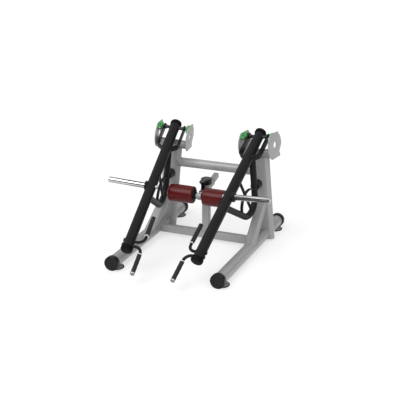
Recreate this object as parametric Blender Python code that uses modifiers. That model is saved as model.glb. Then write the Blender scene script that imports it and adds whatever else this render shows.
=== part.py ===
"""A plate-loaded deadlift shrug machine: two lever arms on a welded frame, with a pair of thigh rollers.

Metres, +Z up, the handles towards -Y. The two sides mirror each other in the plane x = 0.
Places along Y are measured from the plane of the uprights.
"""

import math

import bmesh
import bpy
from mathutils import Matrix, Vector

# Clearances
SEAM = 0.0003
RUNNING = 0.0004
STOP_GAP = 0.0006

# Floor tubes with their caps and feet
UPRIGHT_Y = 0.52075
TRACK = 0.4895
TOE_OUT = math.radians(0.5)
FLOOR_RADIUS = 0.053
FLOOR_WALL = 0.004
FLOOR_FRONT = -1.178
FLOOR_REAR = 0.356
CAP_WALL = 0.011
CAP_RADIUS = FLOOR_RADIUS + CAP_WALL
CAP_LIFT = 0.001
FLOOR_HEIGHT = CAP_RADIUS + CAP_LIFT
CAP_FACE = 0.012
CAP_SLEEVE = 0.032
CAP_DISH = 0.0025
CAP_RIM = 0.006
FOOT_RADIUS = 0.070
FOOT_HEIGHT = 0.009
FOOT_FRONT = -1.094
FOOT_REAR = 0.272
PAD_RADIUS = 0.060
PAD_SEAT = 0.0008
PAD_TOP = FLOOR_HEIGHT - FLOOR_RADIUS + PAD_SEAT

# Uprights
LEAN = math.radians(5)
UPRIGHT_FOOT = FLOOR_HEIGHT - FLOOR_RADIUS
UPRIGHT_WIDTH = 0.174
UPRIGHT_DEPTH = 0.075
UPRIGHT_WALL = 0.004
UPRIGHT_BOTTOM = 0.0
UPRIGHT_SOLE = 0.008
PIVOT_UP = 0.9515

# Braces
BRACE_WIDTH = 0.100
BRACE_DEPTH = 0.060
BRACE_WALL = 0.004
BRACE_FOOT_Y = -0.460
BRACE_FOOT_Z = 0.055
BRACE_HEAD_UP = 0.364

# Crossbeams and centre post
UPPER_BEAM_RADIUS = 0.042
UPPER_BEAM_WALL = 0.004
UPPER_BEAM_HEIGHT = 0.640
BEAM_SOCKET = 0.020
CROSS_Y = -0.227
LOWER_BEAM_DEPTH = 0.060
LOWER_BEAM_TALL = 0.070
LOWER_BEAM_ROUND = 0.010
LOWER_BEAM_DROP = 0.004
LOWER_BEAM_HEIGHT = FLOOR_HEIGHT - LOWER_BEAM_DROP
BEAM_WALL = 0.004
POST_WIDTH = 0.068
POST_DEPTH = 0.058
POST_ROUND = 0.010
POST_TOP = 0.440

# Slide, its receiver and the cap above it
SLIDE_TILT = math.radians(12)
SLIDE_HEIGHT = 0.498
SLIDE_SIZE = 0.045
SLIDE_ROUND = 0.005
SLIDE_WALL = 0.004
SLIDE_REAR = 0.2495
SLIDE_BLIND = -0.130
RECEIVER_WALL = 0.0045
RECEIVER_SIZE = SLIDE_SIZE + 2 * RECEIVER_WALL
RECEIVER_ROUND = 0.005
RECEIVER_FRONT = -0.1094
RECEIVER_REAR = 0.120
POST_CAP_RADIUS = 0.051
POST_CAP_HEIGHT = 0.052
POST_HEAD_CLEAR = 0.006
POST_CAP_ROUND = 0.012

# Pull pin
PIN_Y = -0.075
PIN_RADIUS = 0.0055
PIN_DEPTH = 0.012
SHOULDER_RADIUS = 0.0075
SHOULDER_BORE = 0.008
PIN_BOSS_RADIUS = 0.017
PIN_BOSS_TOP = 0.071
KNOB_RADIUS = 0.029
KNOB_BOTTOM = 0.0776
KNOB_TOP = 0.116
SLOT_HALF = 0.006
SEAT_RADIUS = 0.008
SEAT_PITCH = 0.030
SEATS_BEHIND = 5

# Axle and rollers
AXLE_Y = -0.175
AXLE_RISE = 0.021
HUB_RADIUS = 0.022
HUB_PROUD = 0.002
HUB_HALF = SLIDE_SIZE / 2 + HUB_PROUD
AXLE_RADIUS = 0.0125
WASHER_RADIUS = 0.018
WASHER_THICK = 0.005
ROLLER_PLAY = 0.0005
ROLLER_INNER = HUB_HALF + ROLLER_PLAY
ROLLER_LENGTH = 0.2725
END_PLAY = 0.001
AXLE_REACH = ROLLER_INNER + ROLLER_LENGTH + END_PLAY
ROLLER_RADIUS = 0.0765
ROLLER_CROWN = 0.0018
ROLLER_EDGE = 0.012
ROLLER_CAP = 0.022
ROLLER_CAP_RADIUS = 0.055
ROLLER_NECK_RADIUS = 0.032

# Saddles and pivot plates, in the yawed frame of the pivots
YAW = math.radians(7.3)
SADDLE_RADIUS = 0.038
SADDLE_WALL = 0.005
SADDLE_DROP = 0.148
UPRIGHT_SHORT = 0.020
PLATE_OUT = 0.146
PLATE_THICK = 0.008
DISC_CENTRE = (0.008, -0.075)
DISC_RADIUS = 0.130
PLATE_TOP = 0.038
PLATE_BOTTOM = -0.190
TIP_CENTRE = (0.071, 0.018)
TIP_RADIUS = 0.020
LUG = (0.108, -0.187)
LUG_NECK = (0.092, -0.148)
PLATE_HOLE = (0.012, -0.069)
PLATE_HOLE_RADIUS = 0.028

# Bearings and shafts
SHAFT_RADIUS = 0.015
BOLT_SPACING = 0.117
LUG_RADIUS = 0.0165
BODY_RADIUS = 0.041
FLANGE_THICK = 0.013
HOUSING_RADIUS = 0.034
HOUSING_REACH = 0.031
BOLT_RADIUS = 0.009
BOLT_HEIGHT = 0.007

# Arms, in the frame of the shaft: side, along the tube towards its top, square to the tube
ARM_PITCH = math.radians(30.2)
ARM_RADIUS = 0.0445
ARM_WALL = 0.004
ARM_TOP = 0.062
ARM_BOTTOM = -1.431
ARM_CAP_WALL = 0.008
ARM_CAP_RADIUS = ARM_RADIUS + ARM_CAP_WALL
ARM_CAP_SLEEVE = 0.032
ARM_CAP_FACE = 0.006

# Yokes
YOKE_OUT = 0.0935
YOKE_THICK = 0.010
YOKE_WIDTH = 0.060
YOKE_CORNER = -0.232
YOKE_FOOT = -0.292
YOKE_BEND = 0.020

# Truss with its strut and strap
TRUSS_RADIUS = 0.029
TRUSS_WALL = 0.003
TRUSS_CENTRE = -0.508
TRUSS_HALF_SPAN = 0.3325
TRUSS_BEND = 0.150
STRUT_RADIUS = 0.013
STRAP_RADIUS = 0.157
STRAP_CENTRE = -0.364
STRAP_WIDTH = 0.025
STRAP_THICK = 0.010
STRAP_ANGLE = math.radians(18)

# Bumpers
BUMPER_RADIUS = 0.040
BUMPER_UP = -0.420
BUMPER_START = 0.012

# Weight horns
HORN_ALONG = -0.723
HORN_RADIUS = 0.025
HORN_END = 0.392
COLLAR_RADIUS = 0.043
COLLAR_LENGTH = 0.012
COLLAR_END = ARM_RADIUS + COLLAR_LENGTH
STUD_RADIUS = 0.010
HORN_HEAD_RADIUS = 0.015
HORN_HEAD_LENGTH = 0.012
HORN_HEAD_END = ARM_RADIUS + HORN_HEAD_LENGTH
HORN_EDGE = 0.003

# Handles and grips
HANDLE_RADIUS = 0.013
HANDLE_BEND = 0.060
HANDLE_OUT = 0.122
LOWER_HANDLE = -1.378
LOWER_HANDLE_END = -1.650
UPPER_HANDLE = -1.332
UPPER_HANDLE_END = -1.053
NUT_WIDER = 0.005
NUT_RADIUS = HANDLE_RADIUS + NUT_WIDER
NUT_THICK = 0.008
STUB_LENGTH = 0.011
STUB_END = ARM_RADIUS + STUB_LENGTH
GRIP_WALL = 0.006
GRIP_RADIUS = HANDLE_RADIUS + GRIP_WALL
GRIP_LENGTH = 0.209
GRIP_END = 0.004

# Facets round a turn
WIDE_SIDES = 20
SIDES = 16
SMALL_SIDES = 12

# Bevel resolution of bent tubes and of their bores
TUBE_RESOLUTION = 4
BORE_RESOLUTION = 2

# Colour, roughness and metallic value of each finish
FINISHES = {
    "frame grey": ((0.33, 0.33, 0.33), 0.38, 0.35),
    "arm black": ((0.022, 0.022, 0.023), 0.42, 0.0),
    "rubber": ((0.015, 0.015, 0.015), 0.75, 0.0),
    "plastic": ((0.012, 0.012, 0.012), 0.5, 0.0),
    "green": ((0.04, 0.33, 0.07), 0.4, 0.0),
    "chrome": ((0.75, 0.75, 0.76), 0.12, 1.0),
    "steel": ((0.03, 0.03, 0.03), 0.35, 0.6),
    "red": ((0.12, 0.008, 0.01), 0.5, 0.0),
}

IDENTITY = Matrix.Identity(4)


def clear_scene():
    for obj in list(bpy.data.objects):
        bpy.data.objects.remove(obj, do_unlink=True)


def collection(name):
    made = bpy.data.collections.new(name)
    bpy.context.scene.collection.children.link(made)
    return made


clear_scene()
PARTS = collection("deadlift_shrug_machine")
CUTTERS = collection("cutters")
CUTTERS.hide_render = True


def finish(name, kind):
    """A material of one node, in one of the finishes."""
    colour, roughness, metallic = FINISHES[kind]
    material = bpy.data.materials.new(name)
    material.use_nodes = True
    shader = material.node_tree.nodes["Principled BSDF"]
    shader.inputs["Base Color"].default_value = (*colour, 1.0)
    shader.inputs["Roughness"].default_value = roughness
    shader.inputs["Metallic"].default_value = metallic
    return material


def empty(name, place, parent=None):
    made = bpy.data.objects.new(name, None)
    PARTS.objects.link(made)
    made.parent = parent
    made.matrix_basis = place
    return made


def part(name, mesh, kind, place, parent):
    """A named piece of the machine."""
    made = bpy.data.objects.new(name, mesh)
    PARTS.objects.link(made)
    made.parent = parent
    made.matrix_basis = place
    mesh.materials.append(finish(name, kind))
    return made


def cutter(mesh, place, parent):
    made = bpy.data.objects.new("cutter", mesh)
    CUTTERS.objects.link(made)
    made.parent = parent
    made.matrix_basis = place
    made.hide_render = True
    made.display_type = "WIRE"
    return made


def boolean(obj, other, operation, solver="EXACT"):
    made = obj.modifiers.new(operation.lower(), "BOOLEAN")
    made.operation = operation
    made.object = other
    made.solver = solver


def smooth(mesh):
    mesh.shade_smooth()
    mesh.set_sharp_from_angle(angle=math.radians(35))
    return mesh


def at(x, y, z):
    return Matrix.Translation((x, y, z))


def columns(origin, x, y, z):
    """A placement whose local axes point along x, y and z."""
    rows = Matrix((x, y, z)).transposed().to_4x4()
    return Matrix.Translation(origin) @ rows


# Local X, Y, Z of a piece to the axes of its parent, for a piece that runs along X or Y
ALONG_X = columns((0, 0, 0), (0, 1, 0), (0, 0, 1), (1, 0, 0))
ALONG_Y = columns((0, 0, 0), (-1, 0, 0), (0, 0, 1), (0, 1, 0))


def between(start, end, across):
    """A placement at the middle of two points, local Z along them and local X near to across."""
    run = (Vector(end) - Vector(start)).normalized()
    x = Vector(across)
    x = (x - run * x.dot(run)).normalized()
    return columns((Vector(start) + Vector(end)) / 2, x, run.cross(x), run)


def arc(centre, radius, first, last, steps):
    """Points on a circle from one angle to another, both included."""
    turns = [first + (last - first) * i / steps for i in range(steps + 1)]
    return [(centre[0] + radius * math.cos(t), centre[1] + radius * math.sin(t)) for t in turns]


def circle(radius, sides=SIDES, centre=(0, 0)):
    return arc(centre, radius, 0, math.tau, sides)[:-1]


def rounded(width, height, corner, steps=3):
    """The outline of a rectangle with round corners."""
    x = width / 2 - corner
    y = height / 2 - corner
    corners = [(x, y), (-x, y), (-x, -y), (x, -y)]
    points = []
    for i, centre in enumerate(corners):
        points += arc(centre, corner, i * math.pi / 2, (i + 1) * math.pi / 2, steps)
    return points


def flat_oval(width, depth):
    """The outline of a tube with two flat faces and two half-round edges."""
    reach = (width - depth) / 2
    right = arc((reach, 0), depth / 2, -math.pi / 2, math.pi / 2, 6)
    return right + [(-x, -y) for x, y in right]


def welded(shape):
    """The mesh of a curve, with its caps closed and its faces out."""
    obj = bpy.data.objects.new("curve", shape)
    CUTTERS.objects.link(obj)
    bpy.context.view_layer.update()
    graph = bpy.context.evaluated_depsgraph_get()
    mesh = bpy.data.meshes.new_from_object(obj.evaluated_get(graph))
    bpy.data.objects.remove(obj)
    work = bmesh.new()
    work.from_mesh(mesh)
    bmesh.ops.remove_doubles(work, verts=work.verts, dist=1e-5)
    bmesh.ops.recalc_face_normals(work, faces=work.faces)
    work.to_mesh(mesh)
    work.free()
    return smooth(mesh)


def prism(outlines, length):
    """Flat outlines, the first one outer and any others holes, extruded along local Z about the middle."""
    shape = bpy.data.curves.new("outline", "CURVE")
    shape.dimensions = "2D"
    shape.fill_mode = "BOTH"
    shape.extrude = length / 2
    for outline in outlines:
        spline = shape.splines.new("POLY")
        spline.points.add(len(outline) - 1)
        for point, (x, y) in zip(spline.points, outline):
            point.co = (x, y, 0, 1)
        spline.use_cyclic_u = True
    return welded(shape)


def tube(radius, wall, length, sides=WIDE_SIDES):
    return prism([circle(radius, sides), circle(radius - wall, sides)], length)


def rod(radius, length, sides=SIDES):
    """A cylinder along local Z about the middle."""
    work = bmesh.new()
    bmesh.ops.create_cone(
        work, cap_ends=True, segments=sides, radius1=radius, radius2=radius, depth=length
    )
    mesh = bpy.data.meshes.new("rod")
    work.to_mesh(mesh)
    work.free()
    return smooth(mesh)


def box(width, depth, height):
    work = bmesh.new()
    bmesh.ops.create_cube(work, size=1)
    bmesh.ops.scale(work, vec=(width, depth, height), verts=work.verts)
    mesh = bpy.data.meshes.new("box")
    work.to_mesh(mesh)
    work.free()
    return mesh


def pipe(points, radius, resolution):
    """A round bar along points in space."""
    shape = bpy.data.curves.new("pipe", "CURVE")
    shape.dimensions = "3D"
    shape.bevel_depth = radius
    shape.bevel_resolution = resolution
    shape.use_fill_caps = True
    spline = shape.splines.new("POLY")
    spline.points.add(len(points) - 1)
    for point, place in zip(spline.points, points):
        point.co = (*place, 1)
    return welded(shape)


def turned(name, profile, kind, place, parent, ring=False, sides=SIDES):
    """A piece turned about local Z. The profile of (radius, height) runs down the outer side."""
    mesh = bpy.data.meshes.new(name)
    edges = [(i, i + 1) for i in range(len(profile) - 1)]
    if ring:
        edges.append((len(profile) - 1, 0))
    mesh.from_pydata([(r, 0, z) for r, z in profile], edges, [])
    made = part(name, mesh, kind, place, parent)
    screw = made.modifiers.new("turn", "SCREW")
    screw.steps = sides
    screw.render_steps = sides
    screw.use_merge_vertices = True
    screw.merge_threshold = 1e-5
    screw.use_smooth_shade = True
    return made


def cap_slot(outward, floor):
    """The room that a floor cap takes from the foot under it."""
    half = math.sqrt((CAP_RADIUS + SEAM) ** 2 - (FLOOR_HEIGHT - PAD_TOP) ** 2) + SEAM
    end = FLOOR_REAR if outward > 0 else FLOOR_FRONT
    start = end - outward * (CAP_SLEEVE + SEAM)
    place = at(0, start + outward * FOOT_RADIUS, 0)
    return cutter(box(2 * half, 2 * FOOT_RADIUS, FLOOR_HEIGHT), place, floor)


def floor_tube(name, floor):
    length = FLOOR_REAR - FLOOR_FRONT
    middle = (FLOOR_REAR + FLOOR_FRONT) / 2
    mesh = tube(FLOOR_RADIUS, FLOOR_WALL, length)
    part(name + "_floor_tube", mesh, "frame grey", at(0, middle, FLOOR_HEIGHT) @ ALONG_Y, floor)


def floor_cap(name, y, outward, floor):
    """A cap over the end of a floor tube, with a dished face and a sleeve."""
    bore = FLOOR_RADIUS + SEAM
    profile = [
        (0, CAP_FACE - CAP_DISH),
        (CAP_RADIUS - CAP_RIM - 0.003, CAP_FACE - CAP_DISH),
        (CAP_RADIUS - CAP_RIM, CAP_FACE),
        (CAP_RADIUS - 0.003, CAP_FACE),
        (CAP_RADIUS, CAP_FACE - 0.003),
        (CAP_RADIUS, -CAP_SLEEVE),
        (bore, -CAP_SLEEVE),
        (bore, SEAM),
        (0, SEAM),
    ]
    turn = Matrix.Rotation(-outward * math.pi / 2, 4, "X")
    place = at(0, y, FLOOR_HEIGHT) @ turn
    turned(name, profile, "plastic", place, floor, sides=WIDE_SIDES)


def foot(name, y, outward, floor):
    """A rubber foot with a raised pad that is hollowed to seat the tube."""
    profile = [
        (0, PAD_TOP),
        (PAD_RADIUS, PAD_TOP),
        (PAD_RADIUS, FOOT_HEIGHT),
        (FOOT_RADIUS - 0.003, FOOT_HEIGHT),
        (FOOT_RADIUS, FOOT_HEIGHT - 0.003),
        (FOOT_RADIUS, 0),
        (0, 0),
    ]
    made = turned(name, profile, "rubber", at(0, y, 0), floor, sides=WIDE_SIDES)
    boolean(made, cap_slot(outward, floor), "DIFFERENCE")
    boolean(made, floor_cutter(floor), "DIFFERENCE")


def floor_cutter(floor):
    length = FLOOR_REAR - FLOOR_FRONT
    mesh = rod(FLOOR_RADIUS + SEAM, length, WIDE_SIDES)
    return cutter(mesh, at(0, (FLOOR_REAR + FLOOR_FRONT) / 2, FLOOR_HEIGHT) @ ALONG_Y, floor)


def upright(name, upright_frame, floor, pivot):
    top = PIVOT_UP - SADDLE_DROP - UPRIGHT_SHORT
    outer = flat_oval(UPRIGHT_WIDTH, UPRIGHT_DEPTH)
    inner = flat_oval(UPRIGHT_WIDTH - 2 * UPRIGHT_WALL, UPRIGHT_DEPTH - 2 * UPRIGHT_WALL)
    made = part(
        name + "_upright",
        prism([outer, inner], top - UPRIGHT_BOTTOM),
        "frame grey",
        at(0, 0, (top + UPRIGHT_BOTTOM) / 2),
        upright_frame,
    )
    within = flat_oval(UPRIGHT_WIDTH - UPRIGHT_WALL, UPRIGHT_DEPTH - UPRIGHT_WALL)
    place = at(0, 0, UPRIGHT_BOTTOM + UPRIGHT_SOLE / 2 + SEAM)
    boolean(made, cutter(prism([within], UPRIGHT_SOLE), place, upright_frame), "UNION")
    boolean(made, floor_cutter(floor), "DIFFERENCE")
    saddle = rod(SADDLE_RADIUS + SEAM, 2 * PLATE_OUT, WIDE_SIDES)
    boolean(made, cutter(saddle, at(0, 0, -SADDLE_DROP) @ ALONG_X, pivot), "DIFFERENCE")


def upright_cutter(upright_frame):
    outline = flat_oval(UPRIGHT_WIDTH + 2 * SEAM, UPRIGHT_DEPTH + 2 * SEAM)
    return cutter(prism([outline], PIVOT_UP), at(0, 0, PIVOT_UP / 2), upright_frame)


def brace(name, side, base, floor, upright_frame):
    """A flat-oval tube from the floor tube up to the front of the upright."""
    foot_x = side * (TRACK + BRACE_FOOT_Y * math.tan(TOE_OUT))
    head_x = side * (TRACK - BRACE_HEAD_UP * math.sin(LEAN))
    head_z = UPRIGHT_FOOT + BRACE_HEAD_UP * math.cos(LEAN)
    start = Vector((foot_x, BRACE_FOOT_Y, BRACE_FOOT_Z))
    end = Vector((head_x, 0, head_z))
    outer = flat_oval(BRACE_WIDTH, BRACE_DEPTH)
    inner = flat_oval(BRACE_WIDTH - 2 * BRACE_WALL, BRACE_DEPTH - 2 * BRACE_WALL)
    across = (math.cos(LEAN), 0, side * math.sin(LEAN))
    made = part(
        name + "_brace",
        prism([outer, inner], (end - start).length),
        "frame grey",
        between(start, end, across),
        base,
    )
    boolean(made, floor_cutter(floor), "DIFFERENCE")
    boolean(made, upright_cutter(upright_frame), "DIFFERENCE")


def saddle(name, pivot):
    length = 2 * (PLATE_OUT - PLATE_THICK / 2 - SEAM)
    mesh = tube(SADDLE_RADIUS, SADDLE_WALL, length)
    part(name + "_saddle", mesh, "frame grey", at(0, 0, -SADDLE_DROP) @ ALONG_X, pivot)


def plate_outline():
    """The pivot plate's edge: a disc with a flat top, a flat bottom, a tip and a lug at the rear."""
    x, y = DISC_CENTRE
    rise = math.asin((PLATE_TOP - y) / DISC_RADIUS)
    fall = math.asin((PLATE_BOTTOM - y) / DISC_RADIUS)
    front = arc(DISC_CENTRE, DISC_RADIUS, math.pi - rise, math.pi - fall, 12)
    back = arc(DISC_CENTRE, DISC_RADIUS, math.radians(-6), math.radians(27), 4)
    tip = arc(TIP_CENTRE, TIP_RADIUS, math.radians(35), math.radians(90), 3)
    return front + [(LUG[0] - 0.003, PLATE_BOTTOM), LUG, LUG_NECK] + back + tip


def plate(name, out, pivot):
    hole = circle(PLATE_HOLE_RADIUS, SMALL_SIDES, PLATE_HOLE)
    mesh = prism([plate_outline(), hole], PLATE_THICK)
    part(name, mesh, "frame grey", at(out, 0, 0) @ ALONG_X, pivot)


def bearing_outline():
    """The oval of a two-bolt flange: a round middle and two round lugs."""
    reach = BOLT_SPACING / 2
    turn = math.acos((BODY_RADIUS - LUG_RADIUS) / reach)
    right = arc((reach, 0), LUG_RADIUS, -turn, turn, 5)
    top = arc((0, 0), BODY_RADIUS, turn, math.pi - turn, 3)
    left = arc((-reach, 0), LUG_RADIUS, math.pi - turn, math.pi + turn, 5)
    bottom = arc((0, 0), BODY_RADIUS, math.pi + turn, math.tau - turn, 3)
    return right + top + left + bottom


def bearing(name, face, inward, pivot):
    """A flange bearing on a plate's inner face. Face is where it starts and inward is its direction."""
    place = at(face + inward * FLANGE_THICK / 2, 0, 0) @ ALONG_X
    made = part(name, prism([bearing_outline()], FLANGE_THICK), "green", place, pivot)
    housing = rod(HOUSING_RADIUS, HOUSING_REACH, SIDES)
    place = at(face + inward * HOUSING_REACH / 2, 0, 0) @ ALONG_X
    boolean(made, cutter(housing, place, pivot), "UNION")
    for y in (-BOLT_SPACING / 2, BOLT_SPACING / 2):
        bolt = rod(BOLT_RADIUS, BOLT_HEIGHT * 2, 6)
        place = at(face + inward * FLANGE_THICK, y, 0) @ ALONG_X
        boolean(made, cutter(bolt, place, pivot), "UNION")
    bore = rod(SHAFT_RADIUS + RUNNING, 4 * HOUSING_REACH, SIDES)
    boolean(made, cutter(bore, at(face, 0, 0) @ ALONG_X, pivot), "DIFFERENCE")


def upper_crossbeam(base, uprights):
    upright_x = TRACK - (UPPER_BEAM_HEIGHT - UPRIGHT_FOOT) * math.tan(LEAN)
    reach = upright_x - UPRIGHT_WIDTH / 2 + BEAM_SOCKET
    mesh = tube(UPPER_BEAM_RADIUS, UPPER_BEAM_WALL, 2 * reach)
    place = at(0, 0, UPPER_BEAM_HEIGHT) @ ALONG_X
    made = part("upper_crossbeam", mesh, "frame grey", place, base)
    for frame in uprights:
        boolean(made, upright_cutter(frame), "DIFFERENCE")


def lower_crossbeam(base, floors):
    outer = rounded(LOWER_BEAM_DEPTH, LOWER_BEAM_TALL, LOWER_BEAM_ROUND)
    inner = rounded(
        LOWER_BEAM_DEPTH - 2 * BEAM_WALL,
        LOWER_BEAM_TALL - 2 * BEAM_WALL,
        LOWER_BEAM_ROUND - BEAM_WALL,
    )
    mesh = prism([outer, inner], 2 * TRACK)
    place = at(0, CROSS_Y, LOWER_BEAM_HEIGHT) @ ALONG_X
    made = part("lower_crossbeam", mesh, "frame grey", place, base)
    for floor in floors:
        boolean(made, floor_cutter(floor), "DIFFERENCE")


def centre_post(base):
    bottom = LOWER_BEAM_HEIGHT + LOWER_BEAM_TALL / 2 + SEAM
    outer = rounded(POST_WIDTH, POST_DEPTH, POST_ROUND)
    inner = rounded(POST_WIDTH - 2 * BEAM_WALL, POST_DEPTH - 2 * BEAM_WALL, POST_ROUND - BEAM_WALL)
    mesh = prism([outer, inner], POST_TOP - bottom)
    part("centre_post", mesh, "frame grey", at(0, CROSS_Y, (POST_TOP + bottom) / 2), base)


def head_top():
    """The height of the flat head of the post, clear of the sloping sleeve under the cap."""
    sleeve_top = SLIDE_HEIGHT + RECEIVER_SIZE / 2 / math.cos(SLIDE_TILT)
    return sleeve_top + POST_CAP_RADIUS * math.tan(SLIDE_TILT) + POST_HEAD_CLEAR


def receiver(base, slide):
    """The square sleeve that the bar slides in, with the head of the post round it and the pin's boss."""
    length = RECEIVER_REAR - RECEIVER_FRONT
    middle = (RECEIVER_REAR + RECEIVER_FRONT) / 2
    outline = rounded(RECEIVER_SIZE, RECEIVER_SIZE, RECEIVER_ROUND)
    place = at(0, middle, 0) @ ALONG_Y
    made = part("receiver", prism([outline], length), "frame grey", place, slide)
    head_bottom = POST_TOP + SEAM
    head = prism([rounded(POST_WIDTH, POST_DEPTH, POST_ROUND)], head_top() - head_bottom)
    place = at(0, CROSS_Y, (head_top() + head_bottom) / 2)
    boolean(made, cutter(head, place, base), "UNION")
    boss = rod(PIN_BOSS_RADIUS, PIN_BOSS_TOP, SMALL_SIDES)
    boolean(made, cutter(boss, at(0, PIN_Y, PIN_BOSS_TOP / 2), slide), "UNION")
    opening = SLIDE_SIZE + 2 * RUNNING
    way = prism([rounded(opening, opening, SLIDE_ROUND + RUNNING)], 2 * length)
    boolean(made, cutter(way, at(0, middle, 0) @ ALONG_Y, slide), "DIFFERENCE")
    bore = rod(SHOULDER_BORE, PIN_BOSS_TOP, SMALL_SIDES)
    place = at(0, PIN_Y, PIN_BOSS_TOP / 2 + SLIDE_SIZE / 4)
    boolean(made, cutter(bore, place, slide), "DIFFERENCE")


def post_cap(base):
    bottom = head_top() + SEAM
    top = POST_CAP_HEIGHT
    corner = (POST_CAP_RADIUS - POST_CAP_ROUND, top - POST_CAP_ROUND)
    round_edge = arc(corner, POST_CAP_ROUND, math.pi / 2, 0, 4)
    profile = [(0, top + 0.002)] + round_edge + [(POST_CAP_RADIUS - 0.001, 0), (0, 0)]
    turned("post_cap", profile, "plastic", at(0, CROSS_Y, bottom), base)


def slide_bar(slide):
    """The square bar with its hub and axle, and a slot with a seat for the pin at every step."""
    front = AXLE_Y
    mesh = prism([rounded(SLIDE_SIZE, SLIDE_SIZE, SLIDE_ROUND)], SLIDE_REAR - front)
    place = at(0, (SLIDE_REAR + front) / 2, 0) @ ALONG_Y
    made = part("slide_bar", mesh, "frame grey", place, slide)
    hub = rod(HUB_RADIUS, 2 * HUB_HALF)
    axle = rod(AXLE_RADIUS, 2 * AXLE_REACH, SMALL_SIDES)
    for shape in (hub, axle):
        boolean(made, cutter(shape, at(0, AXLE_Y, AXLE_RISE) @ ALONG_X, slide), "UNION")
    for side in (-1, 1):
        x = side * (AXLE_REACH + WASHER_THICK / 2)
        washer = rod(WASHER_RADIUS, WASHER_THICK + 0.001, SMALL_SIDES)
        boolean(made, cutter(washer, at(x, AXLE_Y, AXLE_RISE) @ ALONG_X, slide), "UNION")
    hollow = SLIDE_SIZE - 2 * SLIDE_WALL
    outline = rounded(hollow, hollow, SLIDE_ROUND - SLIDE_WALL)
    bore = prism([outline], 2 * (SLIDE_REAR - SLIDE_BLIND))
    place = at(0, 2 * SLIDE_REAR - SLIDE_BLIND, 0) @ ALONG_Y
    boolean(made, cutter(bore, place, slide), "DIFFERENCE")
    travel = SEATS_BEHIND * SEAT_PITCH
    slot = box(2 * SLOT_HALF, travel, SLIDE_SIZE)
    place = at(0, PIN_Y + travel / 2, SLIDE_SIZE / 2)
    boolean(made, cutter(slot, place, slide), "DIFFERENCE")
    for i in range(SEATS_BEHIND + 1):
        seat = rod(SEAT_RADIUS, SLIDE_SIZE, SMALL_SIDES)
        place = at(0, PIN_Y + i * SEAT_PITCH, SLIDE_SIZE / 2)
        boolean(made, cutter(seat, place, slide), "DIFFERENCE")


def pull_pin(slide):
    """A knob on a pin whose nose rides in the slide bar's slot, its shoulder just above the seats."""
    grip = (KNOB_TOP + KNOB_BOTTOM) / 2
    profile = [
        (0, KNOB_TOP),
        (KNOB_RADIUS - 0.006, KNOB_TOP),
        (KNOB_RADIUS, KNOB_TOP - 0.008),
        (KNOB_RADIUS, grip + 0.004),
        (PIN_BOSS_RADIUS, grip - 0.008),
        (PIN_BOSS_RADIUS, KNOB_BOTTOM),
        (SHOULDER_RADIUS, KNOB_BOTTOM),
        (SHOULDER_RADIUS, SLIDE_SIZE / 2 + RUNNING),
        (PIN_RADIUS, SLIDE_SIZE / 2 + RUNNING),
        (PIN_RADIUS, SLIDE_SIZE / 2 - PIN_DEPTH + 0.002),
        (PIN_RADIUS - 0.002, SLIDE_SIZE / 2 - PIN_DEPTH),
        (0, SLIDE_SIZE / 2 - PIN_DEPTH),
    ]
    turned("pull_pin", profile, "plastic", at(0, PIN_Y, 0), slide, sides=SMALL_SIDES)


def roller_profile():
    """Half of a turned section: bore, chamfered cap, foam with a crown, and the other cap."""
    bore = AXLE_RADIUS + RUNNING
    half = ROLLER_LENGTH / 2
    foam = half - ROLLER_CAP
    edge = ROLLER_RADIUS - ROLLER_EDGE
    end = arc((edge, foam - ROLLER_EDGE), ROLLER_EDGE, math.pi / 2, 0, 2)
    upper = [(bore, half), (ROLLER_NECK_RADIUS, half), (ROLLER_CAP_RADIUS, foam)]
    lower = [(r, -z) for r, z in reversed(upper)]
    crown = [(ROLLER_RADIUS + ROLLER_CROWN, foam * t) for t in (0.45, -0.45)]
    return upper + end + crown + [(r, -z) for r, z in reversed(end)] + lower


def roller(name, side, slide):
    x = side * (ROLLER_INNER + ROLLER_LENGTH / 2)
    place = at(x, AXLE_Y, AXLE_RISE) @ ALONG_X
    turned(name, roller_profile(), "red", place, slide, ring=True, sides=WIDE_SIDES)


def shaft(name, arm):
    length = 2 * (PLATE_OUT - PLATE_THICK / 2 - 2 * RUNNING)
    part(name + "_pivot_shaft", rod(SHAFT_RADIUS, length), "steel", ALONG_X.copy(), arm)


def arm_tube(name, arm):
    length = ARM_TOP - ARM_BOTTOM
    middle = (ARM_TOP + ARM_BOTTOM) / 2
    mesh = tube(ARM_RADIUS, ARM_WALL, length)
    made = part(name + "_arm_tube", mesh, "arm black", at(0, middle, 0) @ ALONG_Y, arm)
    holes = {
        0: SHAFT_RADIUS,
        HORN_ALONG: STUD_RADIUS,
        UPPER_HANDLE: HANDLE_RADIUS,
        LOWER_HANDLE: HANDLE_RADIUS,
    }
    for along, radius in holes.items():
        hole = rod(radius + SEAM, 4 * ARM_RADIUS)
        boolean(made, cutter(hole, at(0, along, 0) @ ALONG_X, arm), "DIFFERENCE")


def arm_cap(name, end, outward, arm):
    """A round cap over an end of the arm tube."""
    bore = ARM_RADIUS + SEAM
    corner = 0.010
    rim = arc((ARM_CAP_RADIUS - corner, ARM_CAP_FACE - corner), corner, math.pi / 2, 0, 2)
    profile = [(0, ARM_CAP_FACE)] + rim + [
        (ARM_CAP_RADIUS, -ARM_CAP_SLEEVE),
        (bore, -ARM_CAP_SLEEVE),
        (bore, SEAM),
        (0, SEAM),
    ]
    turn = Matrix.Rotation(-outward * math.pi / 2, 4, "X")
    turned(name, profile, "plastic", at(0, end, 0) @ turn, arm, sides=WIDE_SIDES)


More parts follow.
